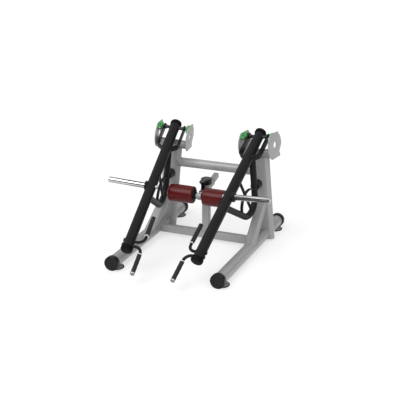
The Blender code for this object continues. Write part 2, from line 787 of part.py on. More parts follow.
def yoke(name, side, arm):
    """A flat bar from the shaft down beside the arm tube, bent to slant in to the tube's side."""
    outer = YOKE_OUT + YOKE_THICK / 2
    inner = YOKE_OUT - YOKE_THICK / 2
    turn = math.pi / 2 - math.atan2(YOKE_CORNER - YOKE_FOOT, YOKE_OUT)
    middle = YOKE_BEND - YOKE_THICK / 2
    centre = (YOKE_OUT - middle, YOKE_CORNER + middle * math.tan(turn / 2))
    top = YOKE_WIDTH
    out_bend = arc(centre, YOKE_BEND, 0, -turn, 5)
    in_bend = arc(centre, YOKE_BEND - YOKE_THICK, -turn, 0, 5)
    x = YOKE_THICK / 2 * math.cos(turn)
    y = YOKE_THICK / 2 * math.sin(turn)
    foot_end = [(x, YOKE_FOOT - y), (-x, YOKE_FOOT + y)]
    path = [(outer, top)] + out_bend + foot_end + in_bend + [(inner, top)]
    mesh = prism([[(side * x, y) for x, y in path]], YOKE_WIDTH)
    made = part(name, mesh, "arm black", IDENTITY.copy(), arm)
    half = YOKE_WIDTH / 2
    ends = arc((0, 0), half, -math.pi / 2, math.pi / 2, 10)
    bar = [(2 * YOKE_FOOT, half), (2 * YOKE_FOOT, -half)] + ends
    hole = circle(SHAFT_RADIUS + SEAM, SIDES)
    shape = prism([bar, hole], 2 * outer)
    boolean(made, cutter(shape, at(side * outer, 0, 0) @ ALONG_X, arm), "INTERSECT")
    gap = rod(ARM_RADIUS + SEAM, 4 * -YOKE_FOOT, WIDE_SIDES)
    boolean(made, cutter(gap, at(0, YOKE_FOOT, 0) @ ALONG_Y, arm), "DIFFERENCE")


def truss_path(past=0.0):
    """Points (along, normal) down one leg from the arm's axis, round the bend and up the other leg.

    Past lengthens the legs beyond the axis.
    """
    slope = math.pi / 2 - ARM_PITCH
    corner = -TRUSS_HALF_SPAN * math.tan(slope)
    centre = corner + TRUSS_BEND / math.cos(slope)
    bend = arc((TRUSS_CENTRE, centre), TRUSS_BEND, slope - math.pi / 2, -slope - math.pi / 2, 8)
    reach = TRUSS_HALF_SPAN + past * math.cos(slope)
    rise = past * math.sin(slope)
    path = [(TRUSS_CENTRE + reach, rise)] + bend + [(TRUSS_CENTRE - reach, rise)]
    return [(0, along, normal) for along, normal in path]


def truss(name, arm):
    """The bent tube below the arm with its strut and its arched strap."""
    mesh = pipe(truss_path(), TRUSS_RADIUS, TUBE_RESOLUTION)
    made = part(name + "_truss", mesh, "arm black", IDENTITY.copy(), arm)
    bottom = min(normal for _, _, normal in truss_path())
    strut = rod(STRUT_RADIUS, -bottom, SMALL_SIDES)
    boolean(made, cutter(strut, at(0, TRUSS_CENTRE, bottom / 2), arm), "UNION")
    centre = (TRUSS_CENTRE, STRAP_CENTRE)
    over = arc(centre, STRAP_RADIUS + STRAP_THICK / 2, STRAP_ANGLE, math.pi - STRAP_ANGLE, 10)
    under = arc(centre, STRAP_RADIUS - STRAP_THICK / 2, math.pi - STRAP_ANGLE, STRAP_ANGLE, 10)
    strap = prism([over + under], STRAP_WIDTH)
    boolean(made, cutter(strap, ALONG_X.copy(), arm), "UNION")
    tube_gap = rod(ARM_RADIUS + SEAM, -ARM_BOTTOM, WIDE_SIDES)
    place = at(0, ARM_BOTTOM / 2, 0) @ ALONG_Y
    boolean(made, cutter(tube_gap, place, arm), "DIFFERENCE", "MANIFOLD")
    bore = pipe(truss_path(ARM_RADIUS / 2), TRUSS_RADIUS - TRUSS_WALL, BORE_RESOLUTION)
    boolean(made, cutter(bore, IDENTITY.copy(), arm), "DIFFERENCE", "MANIFOLD")


def bumper(name, side, arm):
    """A rubber stop behind the truss's upright leg, square to the front of the upright."""
    leg = (TRUSS_CENTRE + TRUSS_HALF_SPAN) * math.cos(ARM_PITCH)
    face = -(UPRIGHT_DEPTH / 2 + STOP_GAP)
    start = leg * math.cos(YAW) + BUMPER_START
    to_arm = Matrix.Rotation(-ARM_PITCH, 4, "X") @ Matrix.Rotation(side * YAW, 4, "Z")
    place = to_arm @ at(side * leg * math.sin(YAW), (start + face) / 2, BUMPER_UP) @ ALONG_Y
    made = part(name + "_bumper", rod(BUMPER_RADIUS, face - start), "rubber", place, arm)
    gap = pipe(truss_path(), TRUSS_RADIUS + SEAM, TUBE_RESOLUTION)
    boolean(made, cutter(gap, IDENTITY.copy(), arm), "DIFFERENCE")


def weight_horn(name, side, arm):
    """A horn with its collar against the arm tube, and its stud through the tube to a bolt head."""
    seat = ARM_RADIUS + SEAM
    profile = [
        (0, HORN_END),
        (HORN_RADIUS - HORN_EDGE, HORN_END),
        (HORN_RADIUS, HORN_END - HORN_EDGE),
        (HORN_RADIUS, COLLAR_END),
        (COLLAR_RADIUS, COLLAR_END),
        (COLLAR_RADIUS, seat),
        (STUD_RADIUS, seat),
        (STUD_RADIUS, -seat),
        (HORN_HEAD_RADIUS, -seat),
        (HORN_HEAD_RADIUS, -HORN_HEAD_END),
        (0, -HORN_HEAD_END),
    ]
    turn = Matrix.Rotation(side * math.pi / 2, 4, "Y")
    turned(name + "_weight_horn", profile, "chrome", at(0, HORN_ALONG, 0) @ turn, arm)


def handle(name, side, along, end, arm):
    """A bar through the arm tube, bent along it on the inner side, with a nut on the outer side."""
    way = math.copysign(1, end - along)
    centre = (-HANDLE_OUT + HANDLE_BEND, along + way * HANDLE_BEND)
    bend = arc(centre, HANDLE_BEND, -way * math.pi / 2, -way * math.pi, 6)
    path = [(STUB_END, along)] + bend + [(-HANDLE_OUT, end)]
    mesh = pipe([(side * x, y, 0) for x, y in path], HANDLE_RADIUS, TUBE_RESOLUTION)
    made = part(name, mesh, "arm black", IDENTITY.copy(), arm)
    nut = rod(NUT_RADIUS, NUT_THICK, SMALL_SIDES)
    x = side * (ARM_RADIUS + SEAM + NUT_THICK / 2)
    boolean(made, cutter(nut, at(x, along, 0) @ ALONG_X, arm), "UNION")


def grip(name, side, end, way, arm):
    """A rubber sleeve over the end of a handle."""
    bore = HANDLE_RADIUS + SEAM
    profile = [
        (0, GRIP_END),
        (GRIP_RADIUS - 0.002, GRIP_END),
        (GRIP_RADIUS, GRIP_END - 0.002),
        (GRIP_RADIUS, GRIP_END - GRIP_LENGTH),
        (bore, GRIP_END - GRIP_LENGTH),
        (bore, SEAM),
        (0, SEAM),
    ]
    turn = Matrix.Rotation(-way * math.pi / 2, 4, "X")
    place = at(-side * HANDLE_OUT, end, 0) @ turn
    turned(name, profile, "rubber", place, arm)


def frame_side(name, side, base):
    """One side of the welded frame, and the empties that its arm and crossbeams are placed by."""
    toe_out = Matrix.Rotation(-side * TOE_OUT, 4, "Z")
    lean = Matrix.Rotation(-side * LEAN, 4, "Y")
    yaw = Matrix.Rotation(-side * YAW, 4, "Z")
    floor = empty(name + "_floor_line", at(side * TRACK, 0, 0) @ toe_out, base)
    upright_frame = empty(name + "_upright_line", at(side * TRACK, 0, UPRIGHT_FOOT) @ lean, base)
    pivot = empty(name + "_pivot_line", at(0, 0, PIVOT_UP) @ yaw, upright_frame)
    floor_tube(name, floor)
    floor_cap(name + "_front_cap", FLOOR_FRONT, -1, floor)
    floor_cap(name + "_rear_cap", FLOOR_REAR, 1, floor)
    foot(name + "_front_foot", FOOT_FRONT, -1, floor)
    foot(name + "_rear_foot", FOOT_REAR, 1, floor)
    upright(name, upright_frame, floor, pivot)
    brace(name, side, base, floor, upright_frame)
    saddle(name, pivot)
    for word, out in (("outer", side), ("inner", -side)):
        plate(f"{name}_pivot_plate_{word}", out * PLATE_OUT, pivot)
        face = out * (PLATE_OUT - PLATE_THICK / 2 - SEAM)
        bearing(f"{name}_bearing_{word}", face, -out, pivot)
    return floor, upright_frame, pivot


def arm_side(name, side, pivot):
    """One lever arm, hung from its shaft."""
    arm = empty(name + "_arm_hub", Matrix.Rotation(ARM_PITCH, 4, "X"), pivot)
    shaft(name, arm)
    arm_tube(name, arm)
    arm_cap(name + "_arm_top_cap", ARM_TOP, 1, arm)
    arm_cap(name + "_arm_bottom_cap", ARM_BOTTOM, -1, arm)
    yoke(name + "_yoke_outer", side, arm)
    yoke(name + "_yoke_inner", -side, arm)
    truss(name, arm)
    bumper(name, side, arm)
    weight_horn(name, side, arm)
    handle(name + "_handle_lower", side, LOWER_HANDLE, LOWER_HANDLE_END, arm)
    handle(name + "_handle_upper", side, UPPER_HANDLE, UPPER_HANDLE_END, arm)
    grip(name + "_grip_lower", side, LOWER_HANDLE_END, -1, arm)
    grip(name + "_grip_upper", side, UPPER_HANDLE_END, 1, arm)


def build():
    base = empty("frame_base", at(0, UPRIGHT_Y, 0))
    tilt = Matrix.Rotation(SLIDE_TILT, 4, "X")
    slide = empty("slide_line", at(0, CROSS_Y, SLIDE_HEIGHT) @ tilt, base)
    floors = []
    uprights = []
    for name, side in (("right", 1), ("left", -1)):
        floor, upright_frame, pivot = frame_side(name, side, base)
        floors.append(floor)
        uprights.append(upright_frame)
        arm_side(name, side, pivot)
    upper_crossbeam(base, uprights)
    lower_crossbeam(base, floors)
    centre_post(base)
    receiver(base, slide)
    post_cap(base)
    slide_bar(slide)
    pull_pin(slide)
    roller("right_roller", 1, slide)
    roller("left_roller", -1, slide)


build()
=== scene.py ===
"""The looks of a plate-loaded deadlift shrug machine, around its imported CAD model.

Metres, +Z up, the handles towards -Y. The two sides mirror each other in the plane x = 0.
"""

import math

import bmesh
import bpy
from mathutils import Matrix, Vector
from mathutils.bvhtree import BVHTree


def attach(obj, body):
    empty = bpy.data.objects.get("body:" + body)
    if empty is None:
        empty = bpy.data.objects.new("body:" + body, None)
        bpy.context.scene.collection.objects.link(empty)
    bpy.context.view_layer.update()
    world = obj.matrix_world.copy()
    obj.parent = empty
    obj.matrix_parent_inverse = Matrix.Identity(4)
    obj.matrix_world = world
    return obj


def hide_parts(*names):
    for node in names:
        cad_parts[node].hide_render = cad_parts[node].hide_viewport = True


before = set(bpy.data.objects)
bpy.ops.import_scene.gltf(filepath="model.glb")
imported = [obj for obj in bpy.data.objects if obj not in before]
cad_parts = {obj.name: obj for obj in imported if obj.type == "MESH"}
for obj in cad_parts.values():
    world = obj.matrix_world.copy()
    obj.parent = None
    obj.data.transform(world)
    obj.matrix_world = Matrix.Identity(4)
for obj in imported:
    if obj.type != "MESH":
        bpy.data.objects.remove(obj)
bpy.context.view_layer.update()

# Driving sizes of the frame
UPRIGHT_Y = 0.52075
TRACK = 0.4895
TOE_OUT = math.radians(0.5)
FLOOR_RADIUS = 0.053
FLOOR_HEIGHT = 0.065
FLOOR_FRONT = -1.178
FLOOR_REAR = 0.356
CAP_RADIUS = 0.064
CAP_FACE = 0.012
CAP_SLEEVE = 0.032
FOOT_RADIUS = 0.070
FOOT_HEIGHT = 0.009
FOOT_FRONT = -1.094
FOOT_REAR = 0.272
PAD_RADIUS = 0.060
PAD_TOP = 0.0128
LEAN = math.radians(5)
UPRIGHT_FOOT = 0.012
UPRIGHT_WIDTH = 0.174
UPRIGHT_DEPTH = 0.075
UPRIGHT_SHORT = 0.032
PIVOT_UP = 0.9515
BRACE_WIDTH = 0.100
BRACE_DEPTH = 0.060
BRACE_FOOT_Y = -0.460
BRACE_FOOT_Z = 0.055
BRACE_HEAD_UP = 0.364
UPPER_BEAM_RADIUS = 0.042
UPPER_BEAM_HEIGHT = 0.640
CROSS_Y = -0.227
LOWER_BEAM_DEPTH = 0.060
LOWER_BEAM_TALL = 0.070
LOWER_BEAM_HEIGHT = 0.061
BEAM_ROUND = 0.010
POST_WIDTH = 0.068
POST_DEPTH = 0.058

# Driving sizes of the slide
SLIDE_TILT = math.radians(12)
SLIDE_HEIGHT = 0.498
SLIDE_SIZE = 0.045
SLIDE_REAR = 0.2495
RECEIVER_SIZE = 0.054
RECEIVER_FRONT = -0.1094
RECEIVER_REAR = 0.120
POST_CAP_RADIUS = 0.051
POST_CAP_HEIGHT = 0.052
POST_HEAD_CLEAR = 0.006
PIN_Y = -0.075
BOSS_RADIUS = 0.017
BOSS_TOP = 0.071
KNOB_RADIUS = 0.029
KNOB_BOTTOM = 0.0776
KNOB_TOP = 0.116
AXLE_Y = -0.175
AXLE_RISE = 0.021
HUB_RADIUS = 0.022
HUB_HALF = 0.0245
AXLE_RADIUS = 0.0125
AXLE_REACH = 0.2985
ROLLER_INNER = 0.025
ROLLER_LENGTH = 0.2725
ROLLER_RADIUS = 0.0765
ROLLER_CROWN = 0.0018
ROLLER_CAP = 0.022
ROLLER_CAP_RADIUS = 0.055
ROLLER_NECK_RADIUS = 0.032

# Driving sizes of the pivots, in their yawed frame
YAW = math.radians(7.3)
SADDLE_RADIUS = 0.038
SADDLE_DROP = 0.148
PLATE_OUT = 0.146
PLATE_THICK = 0.008
DISC_CENTRE = (0.008, -0.075)
DISC_RADIUS = 0.130
PLATE_TOP = 0.038
PLATE_BOTTOM = -0.190
TIP_CENTRE = (0.071, 0.018)
TIP_RADIUS = 0.020
LUG = (0.108, -0.187)
LUG_NECK = (0.092, -0.148)
PLATE_HOLE = (0.012, -0.069)
PLATE_HOLE_RADIUS = 0.028
PLATE_BOLTS = ((0.070, -0.008), (-0.052, -0.002), (0.006, -0.129), (-0.026, -0.181))
SHAFT_RADIUS = 0.015
BOLT_SPACING = 0.117
BEARING_LUG = 0.0165
BEARING_BODY = 0.041
FLANGE_THICK = 0.013
HOUSING_RADIUS = 0.034
HOUSING_REACH = 0.031

# Driving sizes of the arms: side, along the tube towards its top, square to the tube
ARM_PITCH = math.radians(30.2)
ARM_RADIUS = 0.0445
ARM_TOP = 0.062
ARM_BOTTOM = -1.431
ARM_CAP_RADIUS = 0.0525
ARM_CAP_SLEEVE = 0.032
ARM_CAP_FACE = 0.006
YOKE_OUT = 0.0935
YOKE_THICK = 0.010
YOKE_WIDTH = 0.060
YOKE_CORNER = -0.232
YOKE_FOOT = -0.292
YOKE_BEND = 0.020
TRUSS_RADIUS = 0.029
TRUSS_CENTRE = -0.508
TRUSS_HALF_SPAN = 0.3325
TRUSS_BEND = 0.150
STRUT_RADIUS = 0.013
STRAP_RADIUS = 0.157
STRAP_CENTRE = -0.364
STRAP_WIDTH = 0.025
STRAP_THICK = 0.010
STRAP_ANGLE = math.radians(18)
BUMPER_RADIUS = 0.040
BUMPER_UP = -0.420
BUMPER_START = 0.012
HORN_ALONG = -0.723
HORN_RADIUS = 0.025
HORN_END = 0.392
COLLAR_RADIUS = 0.043
COLLAR_END = 0.0565
HORN_HEAD_RADIUS = 0.015
HORN_HEAD_END = 0.0565
HANDLE_RADIUS = 0.013
HANDLE_BEND = 0.060
HANDLE_OUT = 0.122
LOWER_HANDLE = -1.378
LOWER_HANDLE_END = -1.650
UPPER_HANDLE = -1.332
UPPER_HANDLE_END = -1.053
NUT_RADIUS = 0.018
NUT_THICK = 0.008
STUB_END = 0.0555
GRIP_RADIUS = 0.019
GRIP_LENGTH = 0.209
GRIP_END = 0.004

# The camera, solved from the photograph
CAMERA_PLACE = (3.0147, -7.3714 + UPRIGHT_Y - 0.379, 3.2534)
CAMERA_RIGHT = (0.92554, 0.37865, 0.0)
CAMERA_UP = (-0.1263, 0.3088, 0.9427)
CAMERA_LENS = 85.95
CAMERA_SENSOR = 36.0

# The step on a floor cap's face: its chord's distance from the middle, as a share of the face
CAP_CHORD = 0.56

# Small parts and details
TUBE_WALL = 0.004
SADDLE_WALL = 0.005
POST_CAP_ROUND = 0.012
RIDGE_SHARE = 0.80
BOLT_RADIUS = 0.0088
WASHER_THICK = 0.0018
SEAT_COUNT = 5
SEAT_PITCH = 0.030
SEAT_RADIUS = 0.0080
SLOT_WIDTH = 0.012
SCALLOPS = 8
SCALLOP_DEPTH = 0.045
ROLLER_ROUND = 0.0115
CROWN_STEPS = 40
CREASE_DEPTH = 0.00022
GRIP_TIP = 0.0155
GRIP_RING = 0.0090
RIDGES = 10
RIDGE_PITCH = 0.055
RIDGE_DEPTH = 0.0015
RIDGE_FADE = 0.004
KNURL_ROW = 0.0016
KNURL_STEPS = 6

# How far pieces reach into the arm tube, the weld beads' radii, how far outside a tube their
# rays start, and the fewest points a bead is made of
SUNK = 0.012
BEAM_BEAD = 0.0034
RING_BEAD = 0.0030
HANDLE_BEAD = 0.0028
SMALL_BEAD = 0.0026
BRACE_BEAD = 0.0022
FOOT_BEAD = 0.0016
SEAM_GROW = 0.0005
FEWEST_HITS = 8

# The studio: how much of the floor's look is glow, the glow's strength, the world's level and tones
FLOOR_REACH = 60.0
FLOOR_LEVEL = -0.0002
FLOOR_COLOUR = 0.90
FLOOR_SHARE = 0.5
FLOOR_GLOW = 1.15
WORLD_LEVEL = 0.62
WORLD_TONES = ((0.0, 1.0), (0.49, 1.0), (0.51, 0.08), (0.62, 0.10), (0.74, 1.0), (0.97, 1.0), (1.0, 0.4))
SUNS = (
    ("key", (-0.22, -0.55, 0.78), 0.45, 40.0),
    ("fill", (0.48, -0.82, 0.28), 0.36, 60.0),
)

# Steps round a turn
TURN = 96
SMALL_TURN = 48


def clear_startup():
    for name in ("Cube", "Light", "Camera"):
        if name in bpy.data.objects:
            bpy.data.objects.remove(bpy.data.objects[name], do_unlink=True)


def at(x, y, z):
    return Matrix.Translation((x, y, z))


def turn(angle, axis):
    return Matrix.Rotation(angle, 4, axis)


def columns(origin, x, y, z):
    """A placement whose local axes point along x, y and z."""
    return Matrix.Translation(origin) @ Matrix((x, y, z)).transposed().to_4x4()


ALONG_X = columns((0, 0, 0), (0, 1, 0), (0, 0, 1), (1, 0, 0))
ALONG_Y = columns((0, 0, 0), (-1, 0, 0), (0, 0, 1), (0, 1, 0))
BASE = at(0, UPRIGHT_Y, 0)
SLIDE = BASE @ at(0, CROSS_Y, SLIDE_HEIGHT) @ turn(SLIDE_TILT, "X")


def floor_frame(side):
    return BASE @ at(side * TRACK, 0, 0) @ turn(-side * TOE_OUT, "Z")


def upright_frame(side):
    return BASE @ at(side * TRACK, 0, UPRIGHT_FOOT) @ turn(-side * LEAN, "Y")


def pivot_frame(side):
    return upright_frame(side) @ at(0, 0, PIVOT_UP) @ turn(-side * YAW, "Z")


def arm_frame(side):
    return pivot_frame(side) @ turn(ARM_PITCH, "X")


def between(start, end, across):
    """A placement at the middle of two points, local Z along them and local X near to across."""
    run = (Vector(end) - Vector(start)).normalized()
    x = Vector(across)
    x = (x - run * x.dot(run)).normalized()
    return columns((Vector(start) + Vector(end)) / 2, x, run.cross(x), run)


def added(name, data):
    """A new object in the scene."""
    made = bpy.data.objects.new(name, data)
    bpy.context.scene.collection.objects.link(made)
    return made


def wired(tree, kind, feeds, **settings):
    """A new node whose inputs are fed by plain values or by other nodes' outputs."""
    made = tree.nodes.new(kind)
    for name, value in settings.items():
        setattr(made, name, value)
    for key, feed in feeds.items():
        if isinstance(feed, bpy.types.NodeSocket):
            tree.links.new(feed, made.inputs[key])
        else:
            made.inputs[key].default_value = feed
    return made


def mixed_colour(tree, source, first, second):
    """Two colours, mixed by a value."""
    feeds = {"A": first, "B": second, "Factor": source}
    return wired(tree, "ShaderNodeMix", feeds, data_type="RGBA").outputs["Result"]


class Shading:
    """A node tree with one Principled shader, and short calls that add what feeds it."""

    def __init__(self, name, colour, roughness, metallic=0.0):
        self.material = bpy.data.materials.new(name)
        self.material.use_nodes = True
        self.tree = self.material.node_tree
        self.shader = self.tree.nodes["Principled BSDF"]
        self.set("Base Color", (*colour, 1.0))
        self.set("Roughness", roughness)
        self.set("Metallic", metallic)
        self.place = self.tree.nodes.new("ShaderNodeTexCoord").outputs["Object"]
        self.height = None

    def set(self, name, value):
        self.shader.inputs[name].default_value = value

    def link(self, source, name):
        self.tree.links.new(source, self.shader.inputs[name])

    def noise(self, scale, detail=3.0, rough=0.5, stretch=None):
        """A noise value of 0 to 1 over the surface."""
        source = self.place
        if stretch:
            feeds = {"Scale": stretch, "Vector": source}
            source = wired(self.tree, "ShaderNodeMapping", feeds).outputs["Vector"]
        feeds = {"Scale": scale, "Detail": detail, "Roughness": rough, "Vector": source}
        return wired(self.tree, "ShaderNodeTexNoise", feeds).outputs["Fac"]

    def cells(self, scale):
        feeds = {"Scale": scale, "Vector": self.place}
        return wired(self.tree, "ShaderNodeTexVoronoi", feeds).outputs["Distance"]

    def spread(self, source, low, high, start=0.3, end=0.7):
        """The source's stretch from start to end, mapped from low to high."""
        feeds = {"Value": source, "From Min": start, "From Max": end, "To Min": low, "To Max": high}
        return wired(self.tree, "ShaderNodeMapRange", feeds).outputs["Result"]

    def colour(self, source, first, second):
        self.link(mixed_colour(self.tree, source, (*first, 1.0), (*second, 1.0)), "Base Color")

    def roughness(self, source, low, high):
        self.link(self.spread(source, low, high), "Roughness")

    def bump(self, source, depth, strength=1.0):
        """Adds a bump of this depth in metres, on top of the ones before it."""
        feeds = {"Distance": depth, "Strength": strength, "Height": source}
        if self.height is not None:
            feeds["Normal"] = self.height
        self.height = wired(self.tree, "ShaderNodeBump", feeds).outputs["Normal"]
        self.link(self.height, "Normal")


def near_grey(level, blue=0.0):
    """A grey with a little more or less blue."""
    return (level, level, level + blue)


def finish(name, tones, patches, sheen, roughness, bumps, metallic=0.0, specular=0.5):
    """Two near tones in patches, a roughness that varies, and bumps of (noise, depth, strength)."""
    made = Shading(name, tones[0], roughness[1], metallic)
    made.set("Specular IOR Level", specular)
    made.colour(made.spread(made.noise(*patches), 0.0, 1.0), *tones)
    made.roughness(made.noise(*sheen), *roughness)
    for noise, depth, strength in bumps:
        made.bump(made.noise(*noise), depth, strength)
    return made.material


def powder_grey():
    tones = (near_grey(0.300, 0.001), near_grey(0.336, -0.001))
    bumps = [((260.0, 2.0), 0.00012, 0.35), ((1500.0, 1.0), 0.00004, 0.35)]
    return finish("powder grey", tones, (5.0, 4.0), (38.0, 4.0), (0.30, 0.42), bumps, 0.15, 0.4)


def powder_black():
    tones = (near_grey(0.0070, 0.0002), near_grey(0.0095, 0.0003))
    bumps = [((300.0, 2.0), 0.00012, 0.4), ((1700.0, 1.0), 0.00004, 0.4)]
    return finish("powder black", tones, (7.0, 5.0), (45.0, 4.0), (0.36, 0.48), bumps, 0.0, 0.15)


def weld_metal(name, tones, metallic):
    """Painted weld metal, rough from the torch."""
    bumps = [((420.0, 2.0), 0.0003, 0.4)]
    return finish(name, tones, (60.0, 3.0), (140.0, 3.0), (0.36, 0.52), bumps, metallic, 0.3)


def moulded_plastic(name, tones, specular, roughness):
    bumps = [((1300.0, 3.0), 0.00006, 0.5)]
    return finish(name, tones, (16.0, 4.0), (80.0, 3.0), roughness, bumps, 0.0, specular)


def rubber(name, tones):
    bumps = [((900.0, 4.0), 0.00012, 0.6)]
    return finish(name, tones, (22.0, 5.0), (60.0, 4.0), (0.62, 0.82), bumps, 0.0, 0.3)


def chrome():
    """Polished plate whose colour carries painted reflection streaks along the part's own axis: dark and
    bright bands that stand in for reflected surroundings.
    """
    made = Shading("chrome plate", (0.5, 0.5, 0.51), 0.12, 1.0)
    # Painted reflection: the base colour swings from near black to pale grey in streaks, standing in for
    # the surroundings that the chrome reflects.
    painted_reflection_streaks = made.noise(1.0, 4.0, 0.6, (105.0, 105.0, 1.2))
    made.colour(made.spread(painted_reflection_streaks, 0.0, 1.0, 0.46, 0.55), near_grey(0.07, 0.001), near_grey(0.60, 0.01))
    made.roughness(made.noise(70.0, 5.0, 0.6), 0.08, 0.16)
    made.bump(made.noise(90.0, 3.0), 0.00003, 0.3)
    return made.material


def bright_plate(name, tones):
    bumps = [((900.0, 2.0), 0.00004, 0.4)]
    return finish(name, tones, (120.0, 5.0), (200.0, 4.0), (0.22, 0.42), bumps, 1.0)


def dark_steel():
    tones = (near_grey(0.026, 0.001), near_grey(0.055, 0.002))
    bumps = [((700.0, 2.0), 0.00005, 0.4)]
    return finish("dark steel", tones, (90.0, 4.0), (160.0, 4.0), (0.27, 0.44), bumps, 0.7)


def green_enamel():
    tones = ((0.020, 0.270, 0.040), (0.034, 0.340, 0.060))
    bumps = [((330.0, 4.0, 0.6), 0.0004, 0.5)]
    made = finish("green enamel", tones, (45.0, 5.0), (110.0, 4.0), (0.3, 0.46), bumps, 0.0, 0.3)
    shader = made.node_tree.nodes["Principled BSDF"]
    shader.inputs["Coat Weight"].default_value = 0.08
    shader.inputs["Coat Roughness"].default_value = 0.2
    return made


def red_vinyl():
    """The skin of the foam rollers: a dark red with a fine grain and faint stretched creases."""
    made = Shading("red vinyl", (0.086, 0.0050, 0.0058), 0.25, 0.0)
    made.set("Specular IOR Level", 0.20)
    patches = made.spread(made.noise(14.0, 5.0), 0.0, 1.0)
    made.colour(patches, (0.074, 0.0040, 0.0046), (0.090, 0.0050, 0.0057))
    made.roughness(made.noise(32.0, 4.0), 0.20, 0.30)
    made.bump(made.noise(20.0, 3.0, 0.5, (1.0, 3.0, 3.0)), 0.0005, 0.2)
    made.bump(made.cells(620.0), 0.00008, 0.25)
    made.bump(made.noise(1900.0, 2.0), 0.00003, 0.3)
    return made.material


LOOKS = {
    "grey": powder_grey(),
    "black": powder_black(),
    "grey weld": weld_metal("grey weld", (near_grey(0.265, 0.001), near_grey(0.305, -0.001)), 0.15),
    "black weld": weld_metal("black weld", (near_grey(0.007, 0.0002), near_grey(0.011, 0.0002)), 0.0),
    "plastic": moulded_plastic(
        "moulded plastic", (near_grey(0.006, 0.0002), near_grey(0.0085, 0.0003)), 0.18, (0.28, 0.42)
    ),
    "dark cap": moulded_plastic(
        "dark cap plastic", (near_grey(0.0032, 0.0002), near_grey(0.0048, 0.0002)), 0.06, (0.34, 0.46)
    ),
    "post cap": moulded_plastic(
        "post cap plastic", (near_grey(0.0060, 0.0002), near_grey(0.0080, 0.0002)), 0.50, (0.16, 0.24)
    ),
    "rubber": rubber("rubber", (near_grey(0.011), (0.022, 0.0215, 0.021))),
    "seal": rubber("seal rubber", (near_grey(0.018), near_grey(0.030))),
    "grip cap": moulded_plastic(
        "grip cap plastic", (near_grey(0.165, 0.002), near_grey(0.195, 0.002)), 0.30, (0.30, 0.42)
    ),
    "floor cap": moulded_plastic(
        "floor cap plastic", (near_grey(0.0060, 0.0002), near_grey(0.0085, 0.0003)), 0.22, (0.24, 0.34)
    ),
    "knob": moulded_plastic(
        "knob plastic", (near_grey(0.040, 0.002), near_grey(0.055, 0.002)), 0.25, (0.34, 0.50)
    ),
    "chrome": chrome(),
    "zinc": bright_plate("zinc plate", (near_grey(0.52, -0.01), near_grey(0.72, -0.02))),
    "ring": bright_plate("ring plate", (near_grey(0.82), near_grey(0.92))),
    "steel": dark_steel(),
    "green": green_enamel(),
    "vinyl": red_vinyl(),
}


def piece(name, mesh, look, place, body, *nodes):
    """Adds a mesh to the scene at its place, with its look, riding on a body and standing for CAD nodes."""
    mesh.materials.clear()
    mesh.materials.append(LOOKS[look])
    made = added(name, mesh)
    made.matrix_world = place
    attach(made, body)
    if nodes:
        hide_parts(*nodes)
    return made


def finished(work, angle=30.0):
    """A mesh from a bmesh, smooth but for its edges over an angle in degrees."""
    bmesh.ops.recalc_face_normals(work, faces=work.faces)
    mesh = bpy.data.meshes.new("shape")
    work.to_mesh(mesh)
    work.free()
    mesh.shade_smooth()
    mesh.set_sharp_from_angle(angle=math.radians(angle))
    return mesh


def bevelled(mesh, width, segments=2, angle=35.0):
    """The mesh with its edges over an angle rounded."""
    work = bmesh.new()
    work.from_mesh(mesh)
    limit = math.radians(angle)
    edges = [e for e in work.edges if len(e.link_faces) == 2 and e.calc_face_angle(0) > limit]
    bmesh.ops.bevel(
        work, geom=edges, offset=width, offset_type="OFFSET", segments=segments, profile=0.5,
        affect="EDGES", clamp_overlap=True,
    )
    return finished(work)


def joined(*parts):
    """One mesh from several (mesh, placement) pairs."""
    work = bmesh.new()
    for mesh, place in parts:
        copy = mesh.copy()
        copy.transform(place)
        work.from_mesh(copy)
        bpy.data.meshes.remove(copy)
    return finished(work)


def arc(centre, radius, first, last, steps):
    """Points on a circle from one angle to another, both included."""
    turns = [first + (last - first) * i / steps for i in range(steps + 1)]
    return [(centre[0] + radius * math.cos(t), centre[1] + radius * math.sin(t)) for t in turns]


def circle(radius, steps=TURN, centre=(0.0, 0.0)):
    return arc(centre, radius, 0, math.tau, steps)[:-1]


def rounded(width, height, corner, steps=8):
    x = width / 2 - corner
    y = height / 2 - corner
    points = []
    for i, centre in enumerate([(x, y), (-x, y), (-x, -y), (x, -y)]):
        points += arc(centre, corner, i * math.pi / 2, (i + 1) * math.pi / 2, steps)
    return points


def flat_oval(width, depth, steps=24):
    reach = (width - depth) / 2
    right = arc((reach, 0), depth / 2, -math.pi / 2, math.pi / 2, steps)
    return right + [(-x, -y) for x, y in right]


def curve_mesh(shape):
    """The mesh of a curve, closed and without double points."""
    obj = added("curve", shape)
    graph = bpy.context.evaluated_depsgraph_get()
    mesh = bpy.data.meshes.new_from_object(obj.evaluated_get(graph))
    bpy.data.objects.remove(obj)
    bpy.data.curves.remove(shape)
    work = bmesh.new()
    work.from_mesh(mesh)
    bpy.data.meshes.remove(mesh)
    bmesh.ops.remove_doubles(work, verts=work.verts, dist=1e-6)
    return finished(work)


def prism(outlines, length):
    """Flat outlines, the first one outer and any others holes, extruded along local Z about the middle."""
    shape = bpy.data.curves.new("outline", "CURVE")
    shape.dimensions = "2D"
    shape.fill_mode = "BOTH"
    shape.extrude = length / 2
    for outline in outlines:
        spline = shape.splines.new("POLY")
        spline.points.add(len(outline) - 1)
        for point, (x, y) in zip(spline.points, outline):
            point.co = (x, y, 0, 1)
        spline.use_cyclic_u = True
    return curve_mesh(shape)


def pipe(points, radius, resolution=8, closed=False):
    """A round bar along points in space."""
    shape = bpy.data.curves.new("pipe", "CURVE")
    shape.dimensions = "3D"
    shape.bevel_depth = radius
    shape.bevel_resolution = resolution
    shape.use_fill_caps = not closed
    spline = shape.splines.new("POLY")
    spline.points.add(len(points) - 1)
    for point, place in zip(spline.points, points):
        point.co = (*place, 1)
    spline.use_cyclic_u = closed
    return curve_mesh(shape)


